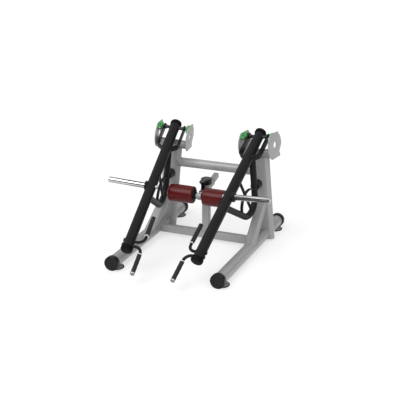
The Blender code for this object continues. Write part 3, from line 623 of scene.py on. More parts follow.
def lathe(profile, steps=TURN):
    """A shape turned about local Z from a profile of (radius, height)."""
    work = bmesh.new()
    points = [work.verts.new((r, 0, z)) for r, z in profile]
    edges = [work.edges.new(pair) for pair in zip(points, points[1:])]
    bmesh.ops.spin(
        work, geom=points + edges, cent=(0, 0, 0), axis=(0, 0, 1), angle=math.tau, steps=steps,
        use_merge=True,
    )
    bmesh.ops.remove_doubles(work, verts=work.verts, dist=1e-6)
    return finished(work)


def softened(profile, radius, steps=3):
    """A profile whose inner corners are rounded, as far as the runs beside them allow."""
    points = [Vector(p) for p in profile]
    result = [tuple(points[0])]
    for before, corner, after in zip(points, points[1:], points[2:]):
        reach = min(radius, (before - corner).length * 0.45, (after - corner).length * 0.45)
        start = corner + (before - corner).normalized() * reach
        end = corner + (after - corner).normalized() * reach
        for i in range(steps + 1):
            t = i / steps
            result.append(tuple(start * (1 - t) ** 2 + corner * 2 * t * (1 - t) + end * t**2))
    result.append(tuple(points[-1]))
    return result


def turned(profile, edge=0.001, corner_steps=3, steps=TURN):
    """A turned shape whose profile's corners are rounded."""
    return lathe(softened(profile, edge, corner_steps), steps)


def drum(radius, start, end, edge=0.0008, steps=TURN):
    """A solid disc or rod along local Z, with rounded edges."""
    return turned([(0, end), (radius, end), (radius, start), (0, start)], edge, 3, steps)


def hexagon(radius, start, end):
    """A hexagonal nut or bolt head along local Z, with its corners chamfered."""
    height = end - start
    work = bmesh.new()
    bmesh.ops.create_cone(work, cap_ends=True, segments=6, radius1=radius, radius2=radius, depth=height)
    bmesh.ops.translate(work, verts=work.verts, vec=(0, 0, (start + end) / 2))
    bmesh.ops.bevel(
        work, geom=list(work.edges), offset=radius * 0.08, segments=2, profile=0.5, affect="EDGES"
    )
    return finished(work)


def bolt(radius, start):
    """A hexagon head on a washer, standing along local Z from a face, with its stud's end."""
    base = start + WASHER_THICK
    top = base + radius * 0.75
    return joined(
        (drum(radius * 1.35, start, base, 0.0004, SMALL_TURN), Matrix()),
        (hexagon(radius, base, top), Matrix()),
        (drum(radius * 0.55, top, top + radius * 0.3, 0.0004, SMALL_TURN), Matrix()),
    )


def weld(name, points, radius, place, body, closed=True):
    """A weld bead through points, with small steady swells along it."""
    mesh = pipe(points, radius, 3, closed)
    for vertex in mesh.vertices:
        x, y, z = vertex.co
        swell = math.sin(x * 1400) * math.sin(y * 1500 + 1.0) * math.sin(z * 1450 + 2.0)
        vertex.co += vertex.normal * radius * 0.16 * swell
    look = "grey weld" if body == "frame" else "black weld"
    piece(name, mesh, look, place, body)


def bead(name, outline, place, target, body, radius, reach=0.6, backwards=False):
    """A weld bead where a tube's outline, run along the tube's local Z, meets a surface."""
    tree = BVHTree.FromPolygons(
        [target.matrix_world @ v.co for v in target.data.vertices],
        [tuple(p.vertices) for p in target.data.polygons],
    )
    way = (place.to_3x3() @ Vector((0, 0, -1 if backwards else 1))).normalized()
    hits = []
    for x, y in outline:
        hit = tree.ray_cast(place @ Vector((x, y, 0)), way, reach)[0]
        if hit is not None:
            hits.append(tuple(hit))
    if len(hits) >= FEWEST_HITS:
        weld(name, hits, radius, Matrix(), body, len(hits) == len(outline))


def floor_cap_look(name, y, outward, place):
    """A moulded cap: sleeve with a groove, rounded rim, dished face with a ring and a step near the top."""
    r = CAP_RADIUS
    face = CAP_FACE
    back = -CAP_SLEEVE
    profile = [
        (0, face - 0.0030), (r - 0.0165, face - 0.0030), (r - 0.0150, face - 0.0014),
        (r - 0.0125, face - 0.0014), (r - 0.0110, face - 0.0030), (r - 0.0075, face - 0.0030),
        (r - 0.0060, face), (r - 0.0010, face - 0.0002), (r, face - 0.0040), (r, back + 0.0060),
        (r - 0.0012, back + 0.0052), (r - 0.0012, back + 0.0044), (r, back + 0.0036),
        (r - 0.0006, back), (FLOOR_RADIUS - 0.0010, back),
    ]
    body = turned(profile, 0.0010, 2)
    half = math.acos(CAP_CHORD)
    segment = arc((0, 0), r - 0.0125, math.pi / 2 - half, math.pi / 2 + half, 24)
    step = bevelled(prism([segment], 0.0022), 0.0005)
    up = -1 if outward > 0 else 1
    mesh = joined((body, Matrix()), (step, at(0, 0, face - 0.0022) @ Matrix.Diagonal((1, up, 1, 1))))
    at_end = place @ at(0, y, FLOOR_HEIGHT) @ turn(-outward * math.pi / 2, "X")
    return piece(name + "_moulded", mesh, "floor cap", at_end, "frame", name)


def foot_look(name, y, place):
    """A rubber foot with a lip round its pad and a groove round its side, and the grey pad on it."""
    r = FOOT_RADIUS
    top = FOOT_HEIGHT
    profile = [
        (0, top - 0.0030), (PAD_RADIUS - 0.0010, top - 0.0030), (PAD_RADIUS + 0.0004, top - 0.0002),
        (PAD_RADIUS + 0.0014, top), (r - 0.0024, top - 0.0003), (r, top - 0.0028),
        (r - 0.0008, 0.0050), (r, 0.0036), (r, 0.0008), (r - 0.0008, 0.0), (0, 0.0),
    ]
    piece(name + "_rubber", turned(profile, 0.0006, 2), "rubber", place @ at(0, y, 0), "frame", name)
    low = top - 0.0028
    pad = turned([(0, PAD_TOP), (PAD_RADIUS - 0.001, PAD_TOP), (PAD_RADIUS, low), (0, low)], 0.0012)
    piece(name + "_pad", pad, "grey", place @ at(0, y, 0), "frame")


def floor_side(name, side):
    place = floor_frame(side)
    mesh = prism([circle(FLOOR_RADIUS), circle(FLOOR_RADIUS - TUBE_WALL)], FLOOR_REAR - FLOOR_FRONT)
    middle = place @ at(0, (FLOOR_REAR + FLOOR_FRONT) / 2, FLOOR_HEIGHT) @ ALONG_Y
    tube = piece(name + "_floor_tube_steel", mesh, "grey", middle, "frame", name + "_floor_tube")
    floor_cap_look(name + "_front_cap", FLOOR_FRONT, -1, place)
    floor_cap_look(name + "_rear_cap", FLOOR_REAR, 1, place)
    foot_look(name + "_front_foot", FOOT_FRONT, place)
    foot_look(name + "_rear_foot", FOOT_REAR, place)
    return tube


def upright_look(name, side, floor_tube, saddle_tube):
    place = upright_frame(side)
    top = PIVOT_UP - SADDLE_DROP - UPRIGHT_SHORT
    mesh = bevelled(prism([flat_oval(UPRIGHT_WIDTH, UPRIGHT_DEPTH)], top), 0.0025, 3)
    middle = place @ at(0, 0, top / 2)
    made = piece(name + "_upright_steel", mesh, "grey", middle, "frame", name + "_upright")
    seam = flat_oval(UPRIGHT_WIDTH + 2 * SEAM_GROW, UPRIGHT_DEPTH + 2 * SEAM_GROW, 20)
    bead(name + "_saddle_weld", seam, place @ at(0, 0, top - 0.05), saddle_tube, "frame", RING_BEAD, 0.3)
    bead(name + "_foot_weld", seam, place @ at(0, 0, 0.3), floor_tube, "frame", FOOT_BEAD, 0.35, True)
    return made


def brace_look(name, side, floor_tube, upright):
    foot_x = side * (TRACK + BRACE_FOOT_Y * math.tan(TOE_OUT))
    head_x = side * (TRACK - BRACE_HEAD_UP * math.sin(LEAN))
    head_z = UPRIGHT_FOOT + BRACE_HEAD_UP * math.cos(LEAN)
    start = Vector((foot_x, BRACE_FOOT_Y, BRACE_FOOT_Z))
    end = Vector((head_x, 0, head_z))
    across = (math.cos(LEAN), 0, side * math.sin(LEAN))
    place = BASE @ between(start, end, across)
    mesh = prism([flat_oval(BRACE_WIDTH, BRACE_DEPTH)], (end - start).length)
    piece(name + "_brace_steel", mesh, "grey", place, "frame", name + "_brace")
    seam = flat_oval(BRACE_WIDTH + 2 * SEAM_GROW, BRACE_DEPTH + 2 * SEAM_GROW, 16)
    bead(name + "_brace_foot_weld", seam, place, floor_tube, "frame", FOOT_BEAD, backwards=True)
    bead(name + "_brace_head_weld", seam, place, upright, "frame", BRACE_BEAD)


def plate_outline():
    y = DISC_CENTRE[1]
    rise = math.asin((PLATE_TOP - y) / DISC_RADIUS)
    fall = math.asin((PLATE_BOTTOM - y) / DISC_RADIUS)
    front = arc(DISC_CENTRE, DISC_RADIUS, math.pi - rise, math.pi - fall, 48)
    back = arc(DISC_CENTRE, DISC_RADIUS, math.radians(-6), math.radians(27), 16)
    tip = arc(TIP_CENTRE, TIP_RADIUS, math.radians(35), math.radians(90), 8)
    lug = arc((LUG[0] - 0.003, PLATE_BOTTOM + 0.003), 0.003, -math.pi / 2, 0, 3)
    return front + lug + [LUG_NECK] + back + tip


def plate_look(name, out, side_out, place):
    """A cut steel plate with broken edges and its small countersunk bolts on the outer face."""
    hole = circle(PLATE_HOLE_RADIUS, 64, PLATE_HOLE)
    mesh = bevelled(prism([plate_outline(), hole], PLATE_THICK), 0.0011, 3, 50)
    piece(name + "_steel", mesh, "grey", place @ at(out, 0, 0) @ ALONG_X, "frame", name)
    head = [(0, 0.0004), (0.0022, 0.0004), (0.0030, 0.0016), (0.0060, 0.0018), (0.0064, -0.001)]
    way = turn(0 if side_out > 0 else math.pi, "Y")
    bolts = [(turned(head, 0.0004, 2, SMALL_TURN), at(y, z, 0) @ way) for y, z in PLATE_BOLTS]
    face = place @ at(out + side_out * PLATE_THICK / 2, 0, 0) @ ALONG_X
    piece(name + "_bolts", joined(*bolts), "grey", face, "frame")


def bearing_outline():
    reach = BOLT_SPACING / 2
    swing = math.acos((BEARING_BODY - BEARING_LUG) / reach)
    right = arc((reach, 0), BEARING_LUG, -swing, swing, 20)
    top = arc((0, 0), BEARING_BODY, swing, math.pi - swing, 24)
    left = arc((-reach, 0), BEARING_LUG, math.pi - swing, math.pi + swing, 20)
    bottom = arc((0, 0), BEARING_BODY, math.pi + swing, math.tau - swing, 24)
    return right + top + left + bottom


def bearing_look(name, face, inward, place):
    """A flange bearing: cast flange and housing, seal, inner ring with its set screw, nipple and bolts."""
    reach = HOUSING_REACH
    flange = bevelled(prism([bearing_outline()], FLANGE_THICK), 0.0022, 3)
    inset = [(x * RIDGE_SHARE, y * RIDGE_SHARE) for x, y in bearing_outline()]
    ridge = bevelled(prism([inset], 0.004), 0.0016, 3)
    profile = [
        (BEARING_BODY - 0.001, 0.0), (BEARING_BODY - 0.002, FLANGE_THICK),
        (HOUSING_RADIUS + 0.002, FLANGE_THICK + 0.002), (HOUSING_RADIUS, reach - 0.006),
        (HOUSING_RADIUS - 0.004, reach - 0.002), (0.0262, reach - 0.002), (0.0255, reach - 0.006),
    ]
    housing = turned(profile, 0.0016)
    way = place @ at(face, 0, 0) @ ALONG_X @ Matrix.Diagonal((1, 1, inward, 1))
    mesh = joined(
        (flange, at(0, 0, FLANGE_THICK / 2)), (ridge, at(0, 0, FLANGE_THICK)), (housing, Matrix()),
    )
    piece(name + "_casting", mesh, "green", way, "frame", name)
    seal = turned([(0.0262, reach - 0.0052), (0.0230, reach - 0.0036), (0.0200, reach - 0.0050)])
    piece(name + "_seal", seal, "seal", way, "frame")
    bore = SHAFT_RADIUS + 0.0004
    outer = [(0.0215, reach - 0.008), (0.0215, reach - 0.0008), (0.0206, reach)]
    ring = turned(outer + [(bore, reach), (bore, reach - 0.012)], 0.0006)
    screw = drum(0.0030, 0, 0.0012, 0.0004, 24)
    on_ring = turn(math.radians(60), "Z") @ at(0.0208, 0, reach - 0.0042) @ turn(math.pi / 2, "Y")
    piece(name + "_inner_ring", joined((ring, Matrix()), (screw, on_ring)), "zinc", way, "frame")
    tip = [(0, 0.011), (0.0018, 0.0105), (0.0022, 0.009)]
    nipple = turned(tip + [(0.0014, 0.0075), (0.0028, 0.006), (0.0032, 0.0)], 0.0004, 3, 24)
    on_side = at(HOUSING_RADIUS - 0.001, 0, FLANGE_THICK + 0.007)
    lean = turn(math.pi / 2, "Z") @ on_side @ turn(math.radians(70), "Y")
    bolts = [(bolt(BOLT_RADIUS, FLANGE_THICK), at(y, 0, 0)) for y in (-BOLT_SPACING / 2, BOLT_SPACING / 2)]
    piece(name + "_fasteners", joined((nipple, lean), *bolts), "zinc", way, "frame")


def saddle_look(name, side):
    place = pivot_frame(side) @ at(0, 0, -SADDLE_DROP)
    length = 2 * (PLATE_OUT - PLATE_THICK / 2)
    mesh = prism([circle(SADDLE_RADIUS), circle(SADDLE_RADIUS - SADDLE_WALL)], length)
    made = piece(name + "_saddle_steel", mesh, "grey", place @ ALONG_X, "frame", name + "_saddle")
    ring = [(x, y, 0) for x, y in circle(SADDLE_RADIUS, 72)]
    for word, out in (("outer", side), ("inner", -side)):
        end = place @ at(out * (length / 2 - 0.0012), 0, 0) @ ALONG_X
        weld(f"{name}_saddle_{word}_weld", ring, RING_BEAD, end, "frame")
    return made


def pivots(name, side):
    place = pivot_frame(side)
    for word, out in (("outer", side), ("inner", -side)):
        plate_look(f"{name}_pivot_plate_{word}", out * PLATE_OUT, out, place)
        face = out * (PLATE_OUT - PLATE_THICK / 2)
        bearing_look(f"{name}_bearing_{word}", face, -out, place)


def crossbeams(tubes, uprights):
    ways = (("right", 0, False), ("left", 1, True))
    reach = TRACK - (UPPER_BEAM_HEIGHT - UPRIGHT_FOOT) * math.tan(LEAN) - UPRIGHT_WIDTH / 2 + 0.02
    place = BASE @ at(0, 0, UPPER_BEAM_HEIGHT) @ ALONG_X
    mesh = prism([circle(UPPER_BEAM_RADIUS)], 2 * reach)
    piece("upper_crossbeam_steel", mesh, "grey", place, "frame", "upper_crossbeam")
    ring = circle(UPPER_BEAM_RADIUS + SEAM_GROW, 72)
    for word, i, backwards in ways:
        bead(f"upper_{word}_weld", ring, place, uprights[i], "frame", BEAM_BEAD, backwards=backwards)
    mesh = prism([rounded(LOWER_BEAM_DEPTH, LOWER_BEAM_TALL, BEAM_ROUND)], 2 * TRACK)
    place = BASE @ at(0, CROSS_Y, LOWER_BEAM_HEIGHT) @ ALONG_X
    piece("lower_crossbeam_steel", mesh, "grey", place, "frame", "lower_crossbeam")
    grow = 2 * SEAM_GROW
    seam = dense(rounded(LOWER_BEAM_DEPTH + grow, LOWER_BEAM_TALL + grow, BEAM_ROUND), 0.005)
    for word, i, backwards in ways:
        bead(f"lower_{word}_weld", seam, place, tubes[i], "frame", BEAM_BEAD, backwards=backwards)


def dense(outline, spacing):
    """The outline with points added along its straight runs."""
    result = []
    for first, second in zip(outline, outline[1:] + outline[:1]):
        a = Vector(first)
        b = Vector(second)
        count = max(1, round((b - a).length / spacing))
        result += [tuple(a.lerp(b, i / count)) for i in range(count)]
    return result


def head_top():
    sleeve_top = SLIDE_HEIGHT + RECEIVER_SIZE / 2 / math.cos(SLIDE_TILT)
    return sleeve_top + POST_CAP_RADIUS * math.tan(SLIDE_TILT) + POST_HEAD_CLEAR


def post():
    """The centre post with its foot weld, the receiver on it and the cap on its head."""
    bottom = LOWER_BEAM_HEIGHT + LOWER_BEAM_TALL / 2
    outline = rounded(POST_WIDTH, POST_DEPTH, BEAM_ROUND)
    top = head_top()
    mesh = bevelled(prism([outline], top - bottom), 0.0008)
    middle = BASE @ at(0, CROSS_Y, (top + bottom) / 2)
    piece("centre_post_steel", mesh, "grey", middle, "frame", "centre_post")
    points = [(x, y, 0) for x, y in dense(outline, 0.004)]
    weld("post_foot_weld", points, RING_BEAD, BASE @ at(0, CROSS_Y, bottom + 0.001), "frame")
    receiver()
    r = POST_CAP_RADIUS
    centre = (r - POST_CAP_ROUND, POST_CAP_HEIGHT - POST_CAP_ROUND)
    profile = [(0, POST_CAP_HEIGHT + 0.0018)] + arc(centre, POST_CAP_ROUND, math.pi / 2, 0, 10)
    profile += [(r, 0.0070), (r - 0.0012, 0.0064), (r - 0.0012, 0.0052), (r, 0.0046)]
    profile += [(r, 0.0004), (0.030, 0.0004)]
    piece("post_cap_moulded", lathe(profile), "post cap", BASE @ at(0, CROSS_Y, top), "frame", "post_cap")


def receiver():
    """The square sleeve that the slide runs in, its black rims and the pull pin's housing."""
    outer = rounded(RECEIVER_SIZE, RECEIVER_SIZE, 0.005)
    bore = SLIDE_SIZE + 0.0008
    sleeve = bevelled(prism([outer, rounded(bore, bore, 0.005)], RECEIVER_REAR - RECEIVER_FRONT), 0.0008)
    middle = SLIDE @ at(0, (RECEIVER_REAR + RECEIVER_FRONT) / 2, 0) @ ALONG_Y
    piece("receiver_sleeve", sleeve, "grey", middle, "frame", "receiver")
    lip = rounded(RECEIVER_SIZE + 0.003, RECEIVER_SIZE + 0.003, 0.0075)
    hole = rounded(SLIDE_SIZE + 0.0006, SLIDE_SIZE + 0.0006, 0.005)
    for word, y, inward, thick in (("front", RECEIVER_FRONT, 1, 0.005), ("rear", RECEIVER_REAR, -1, 0.003)):
        rim = bevelled(prism([lip, hole], thick), 0.0009, 3)
        place = SLIDE @ at(0, y + inward * (thick / 2 - 0.001), 0) @ ALONG_Y
        piece(f"receiver_{word}_rim", rim, "plastic", place, "frame")
    r = BOSS_RADIUS
    low = RECEIVER_SIZE / 2
    profile = [
        (0.0080, BOSS_TOP), (r - 0.0015, BOSS_TOP), (r, BOSS_TOP - 0.0015), (r, low + 0.022),
        (r + 0.0012, low + 0.020), (r + 0.0012, low + 0.008), (r + 0.0028, low + 0.002),
        (r + 0.0034, low - 0.001),
    ]
    boss = turned(profile, 0.0010, 3, SMALL_TURN)
    piece("pin_housing", boss, "dark cap", SLIDE @ at(0, PIN_Y, 0), "frame")


def slide():
    """The bar with its slot and seats, end plug, hub, axle and washers."""
    bar = bevelled(prism([rounded(SLIDE_SIZE, SLIDE_SIZE, 0.0045)], SLIDE_REAR - AXLE_Y), 0.0008)
    place = SLIDE @ at(0, (SLIDE_REAR + AXLE_Y) / 2, 0) @ ALONG_Y
    piece("slide_bar_steel", bar, "grey", place, "slide", "slide_bar")
    plug = bevelled(prism([rounded(SLIDE_SIZE - 0.003, SLIDE_SIZE - 0.003, 0.0045)], 0.004), 0.0010, 3)
    piece("slide_plug", plug, "plastic", SLIDE @ at(0, SLIDE_REAR - 0.0014, 0) @ ALONG_Y, "slide")
    top = SLIDE_SIZE / 2
    seats = []
    for i in range(1, SEAT_COUNT + 1):
        dish = drum(SEAT_RADIUS, top - 0.002, top + 0.0002, 0.0001, SMALL_TURN)
        seats.append((dish, at(0, PIN_Y + i * SEAT_PITCH, 0)))
    travel = SEAT_COUNT * SEAT_PITCH
    groove = bevelled(prism([rounded(SLOT_WIDTH, travel, 0.0059)], 0.002), 0.0001)
    seats.append((groove, at(0, PIN_Y + travel / 2, top - 0.0009)))
    piece("slide_slot", joined(*seats), "steel", SLIDE, "slide")
    at_axle = SLIDE @ at(0, AXLE_Y, AXLE_RISE) @ ALONG_X
    piece("slide_hub", drum(HUB_RADIUS, -HUB_HALF, HUB_HALF, 0.0018), "grey", at_axle, "slide")
    parts = [(drum(AXLE_RADIUS, -AXLE_REACH, AXLE_REACH, 0.0008, SMALL_TURN), Matrix())]
    for side in (-1, 1):
        washer = sorted((side * (AXLE_REACH - 0.0005), side * (AXLE_REACH + 0.0022)))
        parts.append((drum(0.018, *washer, 0.0007, SMALL_TURN), Matrix()))
        nut = sorted((side * (AXLE_REACH + 0.0020), side * (AXLE_REACH + 0.0048)))
        parts.append((hexagon(0.0125, *nut), Matrix()))
    piece("slide_axle", joined(*parts), "zinc", at_axle, "slide")


def pin():
    """The pull pin: a round knob with finger scallops and a pale top, on a stem."""
    place = SLIDE @ at(0, PIN_Y, 0)
    grip = (KNOB_TOP + KNOB_BOTTOM) / 2
    profile = [
        (0, KNOB_TOP + 0.0008), (0.010, KNOB_TOP + 0.0004), (KNOB_RADIUS - 0.007, KNOB_TOP - 0.0008),
        (KNOB_RADIUS, KNOB_TOP - 0.0085), (KNOB_RADIUS, grip + 0.004), (BOSS_RADIUS + 0.001, grip - 0.008),
        (BOSS_RADIUS, KNOB_BOTTOM), (0.0076, KNOB_BOTTOM),
    ]
    knob = turned(profile, 0.003, 5)
    for vertex in knob.vertices:
        reach = math.hypot(vertex.co.x, vertex.co.y)
        if reach > KNOB_RADIUS * 0.80:
            bite = 0.5 + 0.5 * math.cos(SCALLOPS * math.atan2(vertex.co.y, vertex.co.x))
            share = 1 - SCALLOP_DEPTH * bite * (reach / KNOB_RADIUS)
            vertex.co.x *= share
            vertex.co.y *= share
    piece("pull_pin_knob", knob, "dark cap", place, "pin", "pull_pin")
    edge = [(KNOB_RADIUS - 0.0055, KNOB_TOP + 0.0010), (KNOB_RADIUS - 0.0035, KNOB_TOP - 0.003)]
    piece("pull_pin_disc", turned([(0, KNOB_TOP + 0.0018)] + edge, 0.002, 4), "knob", place, "pin")
    stem = drum(0.0075, SLIDE_SIZE / 2 + 0.0004, KNOB_BOTTOM + 0.004, 0.0006, SMALL_TURN)
    piece("pull_pin_stem", stem, "steel", place, "pin")


def roller_look(name, side):
    """A foam roller: a crowned vinyl skin drawn in at its ends, between two chamfered caps."""
    half = ROLLER_LENGTH / 2
    foam = half - ROLLER_CAP
    place = SLIDE @ at(side * (ROLLER_INNER + half), AXLE_Y, AXLE_RISE) @ ALONG_X
    body = name + "_body"
    r = ROLLER_RADIUS - ROLLER_ROUND
    end = foam - ROLLER_ROUND
    crown = []
    for i in range(1, CROWN_STEPS):
        t = 1 - 2 * i / CROWN_STEPS
        crown.append((ROLLER_RADIUS + ROLLER_CROWN * (1 - t**4), end * t))
    first = arc((r, end), ROLLER_ROUND, math.pi / 2, 0, 12)
    last = arc((r, -end), ROLLER_ROUND, 0, -math.pi / 2, 12)
    skin = lathe([(0.040, foam - 0.0005)] + first + crown + last + [(0.040, -foam + 0.0005)], 128)
    for vertex in skin.vertices:
        x, y, z = vertex.co
        angle = math.atan2(y, x)
        wave = math.sin(3 * angle + 9 * z * side) + 0.6 * math.sin(5 * angle - 23 * z + 1.0)
        vertex.co.x += x / ROLLER_RADIUS * CREASE_DEPTH * wave
        vertex.co.y += y / ROLLER_RADIUS * CREASE_DEPTH * wave
    pad = piece(name + "_skin", skin, "vinyl", place, body, name)
    neck = ROLLER_NECK_RADIUS
    rim = ROLLER_CAP_RADIUS
    profile = [
        (AXLE_RADIUS + 0.0004, half), (neck - 0.0030, half), (neck, half - 0.0012),
        (neck + 0.0020, half - 0.0050), (rim - 0.0070, foam + 0.0085), (rim, foam + 0.0050),
        (rim + 0.0012, foam + 0.0010), (rim, foam - 0.0030),
    ]
    groove = [(0.0230, half + 0.0003), (0.0250, half + 0.0010), (0.0270, half + 0.0003)]
    caps = []
    for way in (Matrix(), Matrix.Diagonal((1, 1, -1, 1))):
        caps.append((turned(profile, 0.0012), way))
        caps.append((turned(groove, 0.0006), way))
    piece(name + "_caps", joined(*caps), "plastic", place, body)


def arm_cap_look(name, end, outward, place, body):
    """A domed cap with a step at its sleeve and a faint ring on its face."""
    r = ARM_CAP_RADIUS
    face = ARM_CAP_FACE
    back = -ARM_CAP_SLEEVE
    profile = [
        (0, face), (0.026, face - 0.0004), (0.0275, face - 0.0014), (0.0290, face - 0.0006),
        (0.039, face - 0.0016), (r - 0.0050, face - 0.0050), (r, -0.0080), (r, back + 0.0070),
        (r - 0.0010, back + 0.0062), (r - 0.0010, back + 0.0050), (r, back + 0.0042),
        (r - 0.0006, back), (ARM_RADIUS - 0.0010, back),
    ]
    at_end = place @ at(0, end, 0) @ turn(-outward * math.pi / 2, "X")
    piece(name + "_moulded", turned(profile, 0.0022), "dark cap", at_end, body, name)


def yoke_look(name, side, place, body):
    """A flat bar with broken edges, bent to slant in to the arm tube's side and welded there."""
    outer = YOKE_OUT + YOKE_THICK / 2
    inner = YOKE_OUT - YOKE_THICK / 2
    slope = (YOKE_CORNER - YOKE_FOOT) / YOKE_OUT
    swing = math.pi / 2 - math.atan(slope)
    middle = YOKE_BEND - YOKE_THICK / 2
    centre = (YOKE_OUT - middle, YOKE_CORNER + middle * math.tan(swing / 2))
    out_bend = arc(centre, YOKE_BEND, 0, -swing, 16)
    in_bend = arc(centre, YOKE_BEND - YOKE_THICK, -swing, 0, 16)
    end = ARM_RADIUS - SUNK
    x = YOKE_THICK / 2 * math.cos(swing)
    y = YOKE_THICK / 2 * math.sin(swing)
    foot = [(end + x, YOKE_FOOT + slope * end - y), (end - x, YOKE_FOOT + slope * end + y)]
    path = [(outer, 0)] + out_bend + foot + in_bend + [(inner, 0)]
    strip = bevelled(prism([[(side * x, y) for x, y in path]], YOKE_WIDTH), 0.0012, 3, 60)
    half = YOKE_WIDTH / 2
    eye_outline = arc((0, 0), half, -math.pi / 2, math.pi / 2, 32) + [(-0.004, half), (-0.004, -half)]
    eye = bevelled(prism([eye_outline], YOKE_THICK), 0.0012, 3, 60)
    eye_place = at(side * YOKE_OUT, 0, 0) @ ALONG_X
    piece(name + "_steel", joined((strip, Matrix()), (eye, eye_place)), "black", place, body, name)
    collar = drum(0.0225, -0.0065, 0.0065, 0.0014)
    piece(name + "_collar", collar, "steel", place @ at(side * (inner - 0.006), 0, 0) @ ALONG_X, body)
    rise = YOKE_THICK / 2 * math.hypot(1, slope)
    points = []
    for way in (1, -1):
        for i in range(25):
            v = way * half * (i / 12 - 1)
            x = math.sqrt(ARM_RADIUS**2 - v**2)
            points.append((side * x, YOKE_FOOT + slope * x + way * rise, v))
    weld(name + "_weld", points, SMALL_BEAD, place, body)


def truss_path():
    """Points (along, normal) down one leg from the arm's axis, round the bend and up the other leg."""
    slope = math.pi / 2 - ARM_PITCH
    corner = -TRUSS_HALF_SPAN * math.tan(slope)
    centre = corner + TRUSS_BEND / math.cos(slope)
    bend = arc((TRUSS_CENTRE, centre), TRUSS_BEND, slope - math.pi / 2, -slope - math.pi / 2, 40)
    path = [(TRUSS_CENTRE + TRUSS_HALF_SPAN, 0.0)] + bend + [(TRUSS_CENTRE - TRUSS_HALF_SPAN, 0.0)]
    return [(0, along, normal) for along, normal in path]


def truss_look(name, place, body, arm_tube):
    path = truss_path()
    bottom = min(point[2] for point in path)
    made = piece(name + "_truss_steel", pipe(path, TRUSS_RADIUS, 14), "black", place, body, name + "_truss")
    strut_place = place @ at(0, TRUSS_CENTRE, bottom / 2)
    piece(name + "_strut", prism([circle(STRUT_RADIUS, SMALL_TURN)], -bottom), "black", strut_place, body)
    centre = (TRUSS_CENTRE, STRAP_CENTRE)
    over = arc(centre, STRAP_RADIUS + STRAP_THICK / 2, STRAP_ANGLE, math.pi - STRAP_ANGLE, 48)
    under = arc(centre, STRAP_RADIUS - STRAP_THICK / 2, math.pi - STRAP_ANGLE, STRAP_ANGLE, 48)
    strap = bevelled(prism([over + under], STRAP_WIDTH), 0.0012, 3, 60)
    piece(name + "_strap", strap, "black", place @ ALONG_X, body)
    slope = math.pi / 2 - ARM_PITCH
    ring = circle(TRUSS_RADIUS + SEAM_GROW, 56)
    for word, way in (("rear", 1), ("front", -1)):
        run = Vector((0, way * math.cos(slope), math.sin(slope)))
        start = Vector((0, TRUSS_CENTRE + way * TRUSS_HALF_SPAN, 0)) - run * 0.16
        leg = columns(start, (1, 0, 0), run.cross(Vector((1, 0, 0))), run)
        bead(f"{name}_truss_{word}_weld", ring, place @ leg, arm_tube, body, BEAM_BEAD, 0.3)
    ring = circle(STRUT_RADIUS + SEAM_GROW, 32)
    bead(name + "_strut_top_weld", ring, strut_place, arm_tube, body, SMALL_BEAD)
    bead(name + "_strut_foot_weld", ring, strut_place, made, body, SMALL_BEAD, backwards=True)


def bumper_look(name, side, place, body):
    """A rubber stop with a rounded face, on a steel cup welded to the truss."""
    leg = (TRUSS_CENTRE + TRUSS_HALF_SPAN) * math.cos(ARM_PITCH)
    face = -(UPRIGHT_DEPTH / 2 + 0.0006)
    start = leg * math.cos(YAW) + BUMPER_START
    to_arm = turn(-ARM_PITCH, "X") @ turn(side * YAW, "Z")
    at_start = place @ to_arm @ at(side * leg * math.sin(YAW), start, BUMPER_UP) @ ALONG_Y
    length = face - start
    r = BUMPER_RADIUS
    stop = turned([(0, length), (r - 0.0060, length), (r, length - 0.0060), (r - 0.0006, 0.0200)], 0.0030)
    piece(name + "_rubber", stop, "rubber", at_start, body, name)
    cup = turned([(r - 0.004, 0.0260), (r, 0.0260), (r, 0.0), (0, 0.0)], 0.0012)
    piece(name + "_cup", cup, "black", at_start, body)


def horn_look(name, side, place, body):
    """A chrome sleeve with a chamfered end, a black collar, and the bolt head and washer inside the arm."""
    way = place @ at(0, HORN_ALONG, 0) @ turn(side * math.pi / 2, "Y")
    r = HORN_RADIUS
    end = HORN_END
    profile = [(0.0185, end - 0.0040), (0.0190, end), (r - 0.0034, end), (r, end - 0.0034)]
    horn = turned(profile + [(r, COLLAR_END - 0.004)])
    piece(name + "_chrome", horn, "chrome", way, body, name)
    plug = turned([(0, end - 0.0012), (0.0150, end - 0.0018), (0.0186, end - 0.0040)])
    piece(name + "_plug", plug, "zinc", way, body)
    wide = COLLAR_RADIUS
    profile = [
        (r, COLLAR_END + 0.0002), (wide - 0.0040, COLLAR_END), (wide, COLLAR_END - 0.0030),
        (wide, COLLAR_END - 0.0085), (wide - 0.0022, COLLAR_END - 0.0100),
        (wide - 0.0022, ARM_RADIUS - SUNK),
    ]
    piece(name + "_collar", turned(profile, 0.0014), "black", way, body)
    out = -ARM_RADIUS
    head = [
        (drum(0.0190, out - 0.0022, out + 0.010, 0.0006, SMALL_TURN), Matrix()),
        (hexagon(HORN_HEAD_RADIUS, -HORN_HEAD_END + 0.001, out - 0.002), Matrix()),
        (drum(0.0078, -HORN_HEAD_END - 0.0012, -HORN_HEAD_END + 0.002, 0.0005, SMALL_TURN), Matrix()),
    ]
    piece(name + "_bolt", joined(*head), "zinc", way, body)


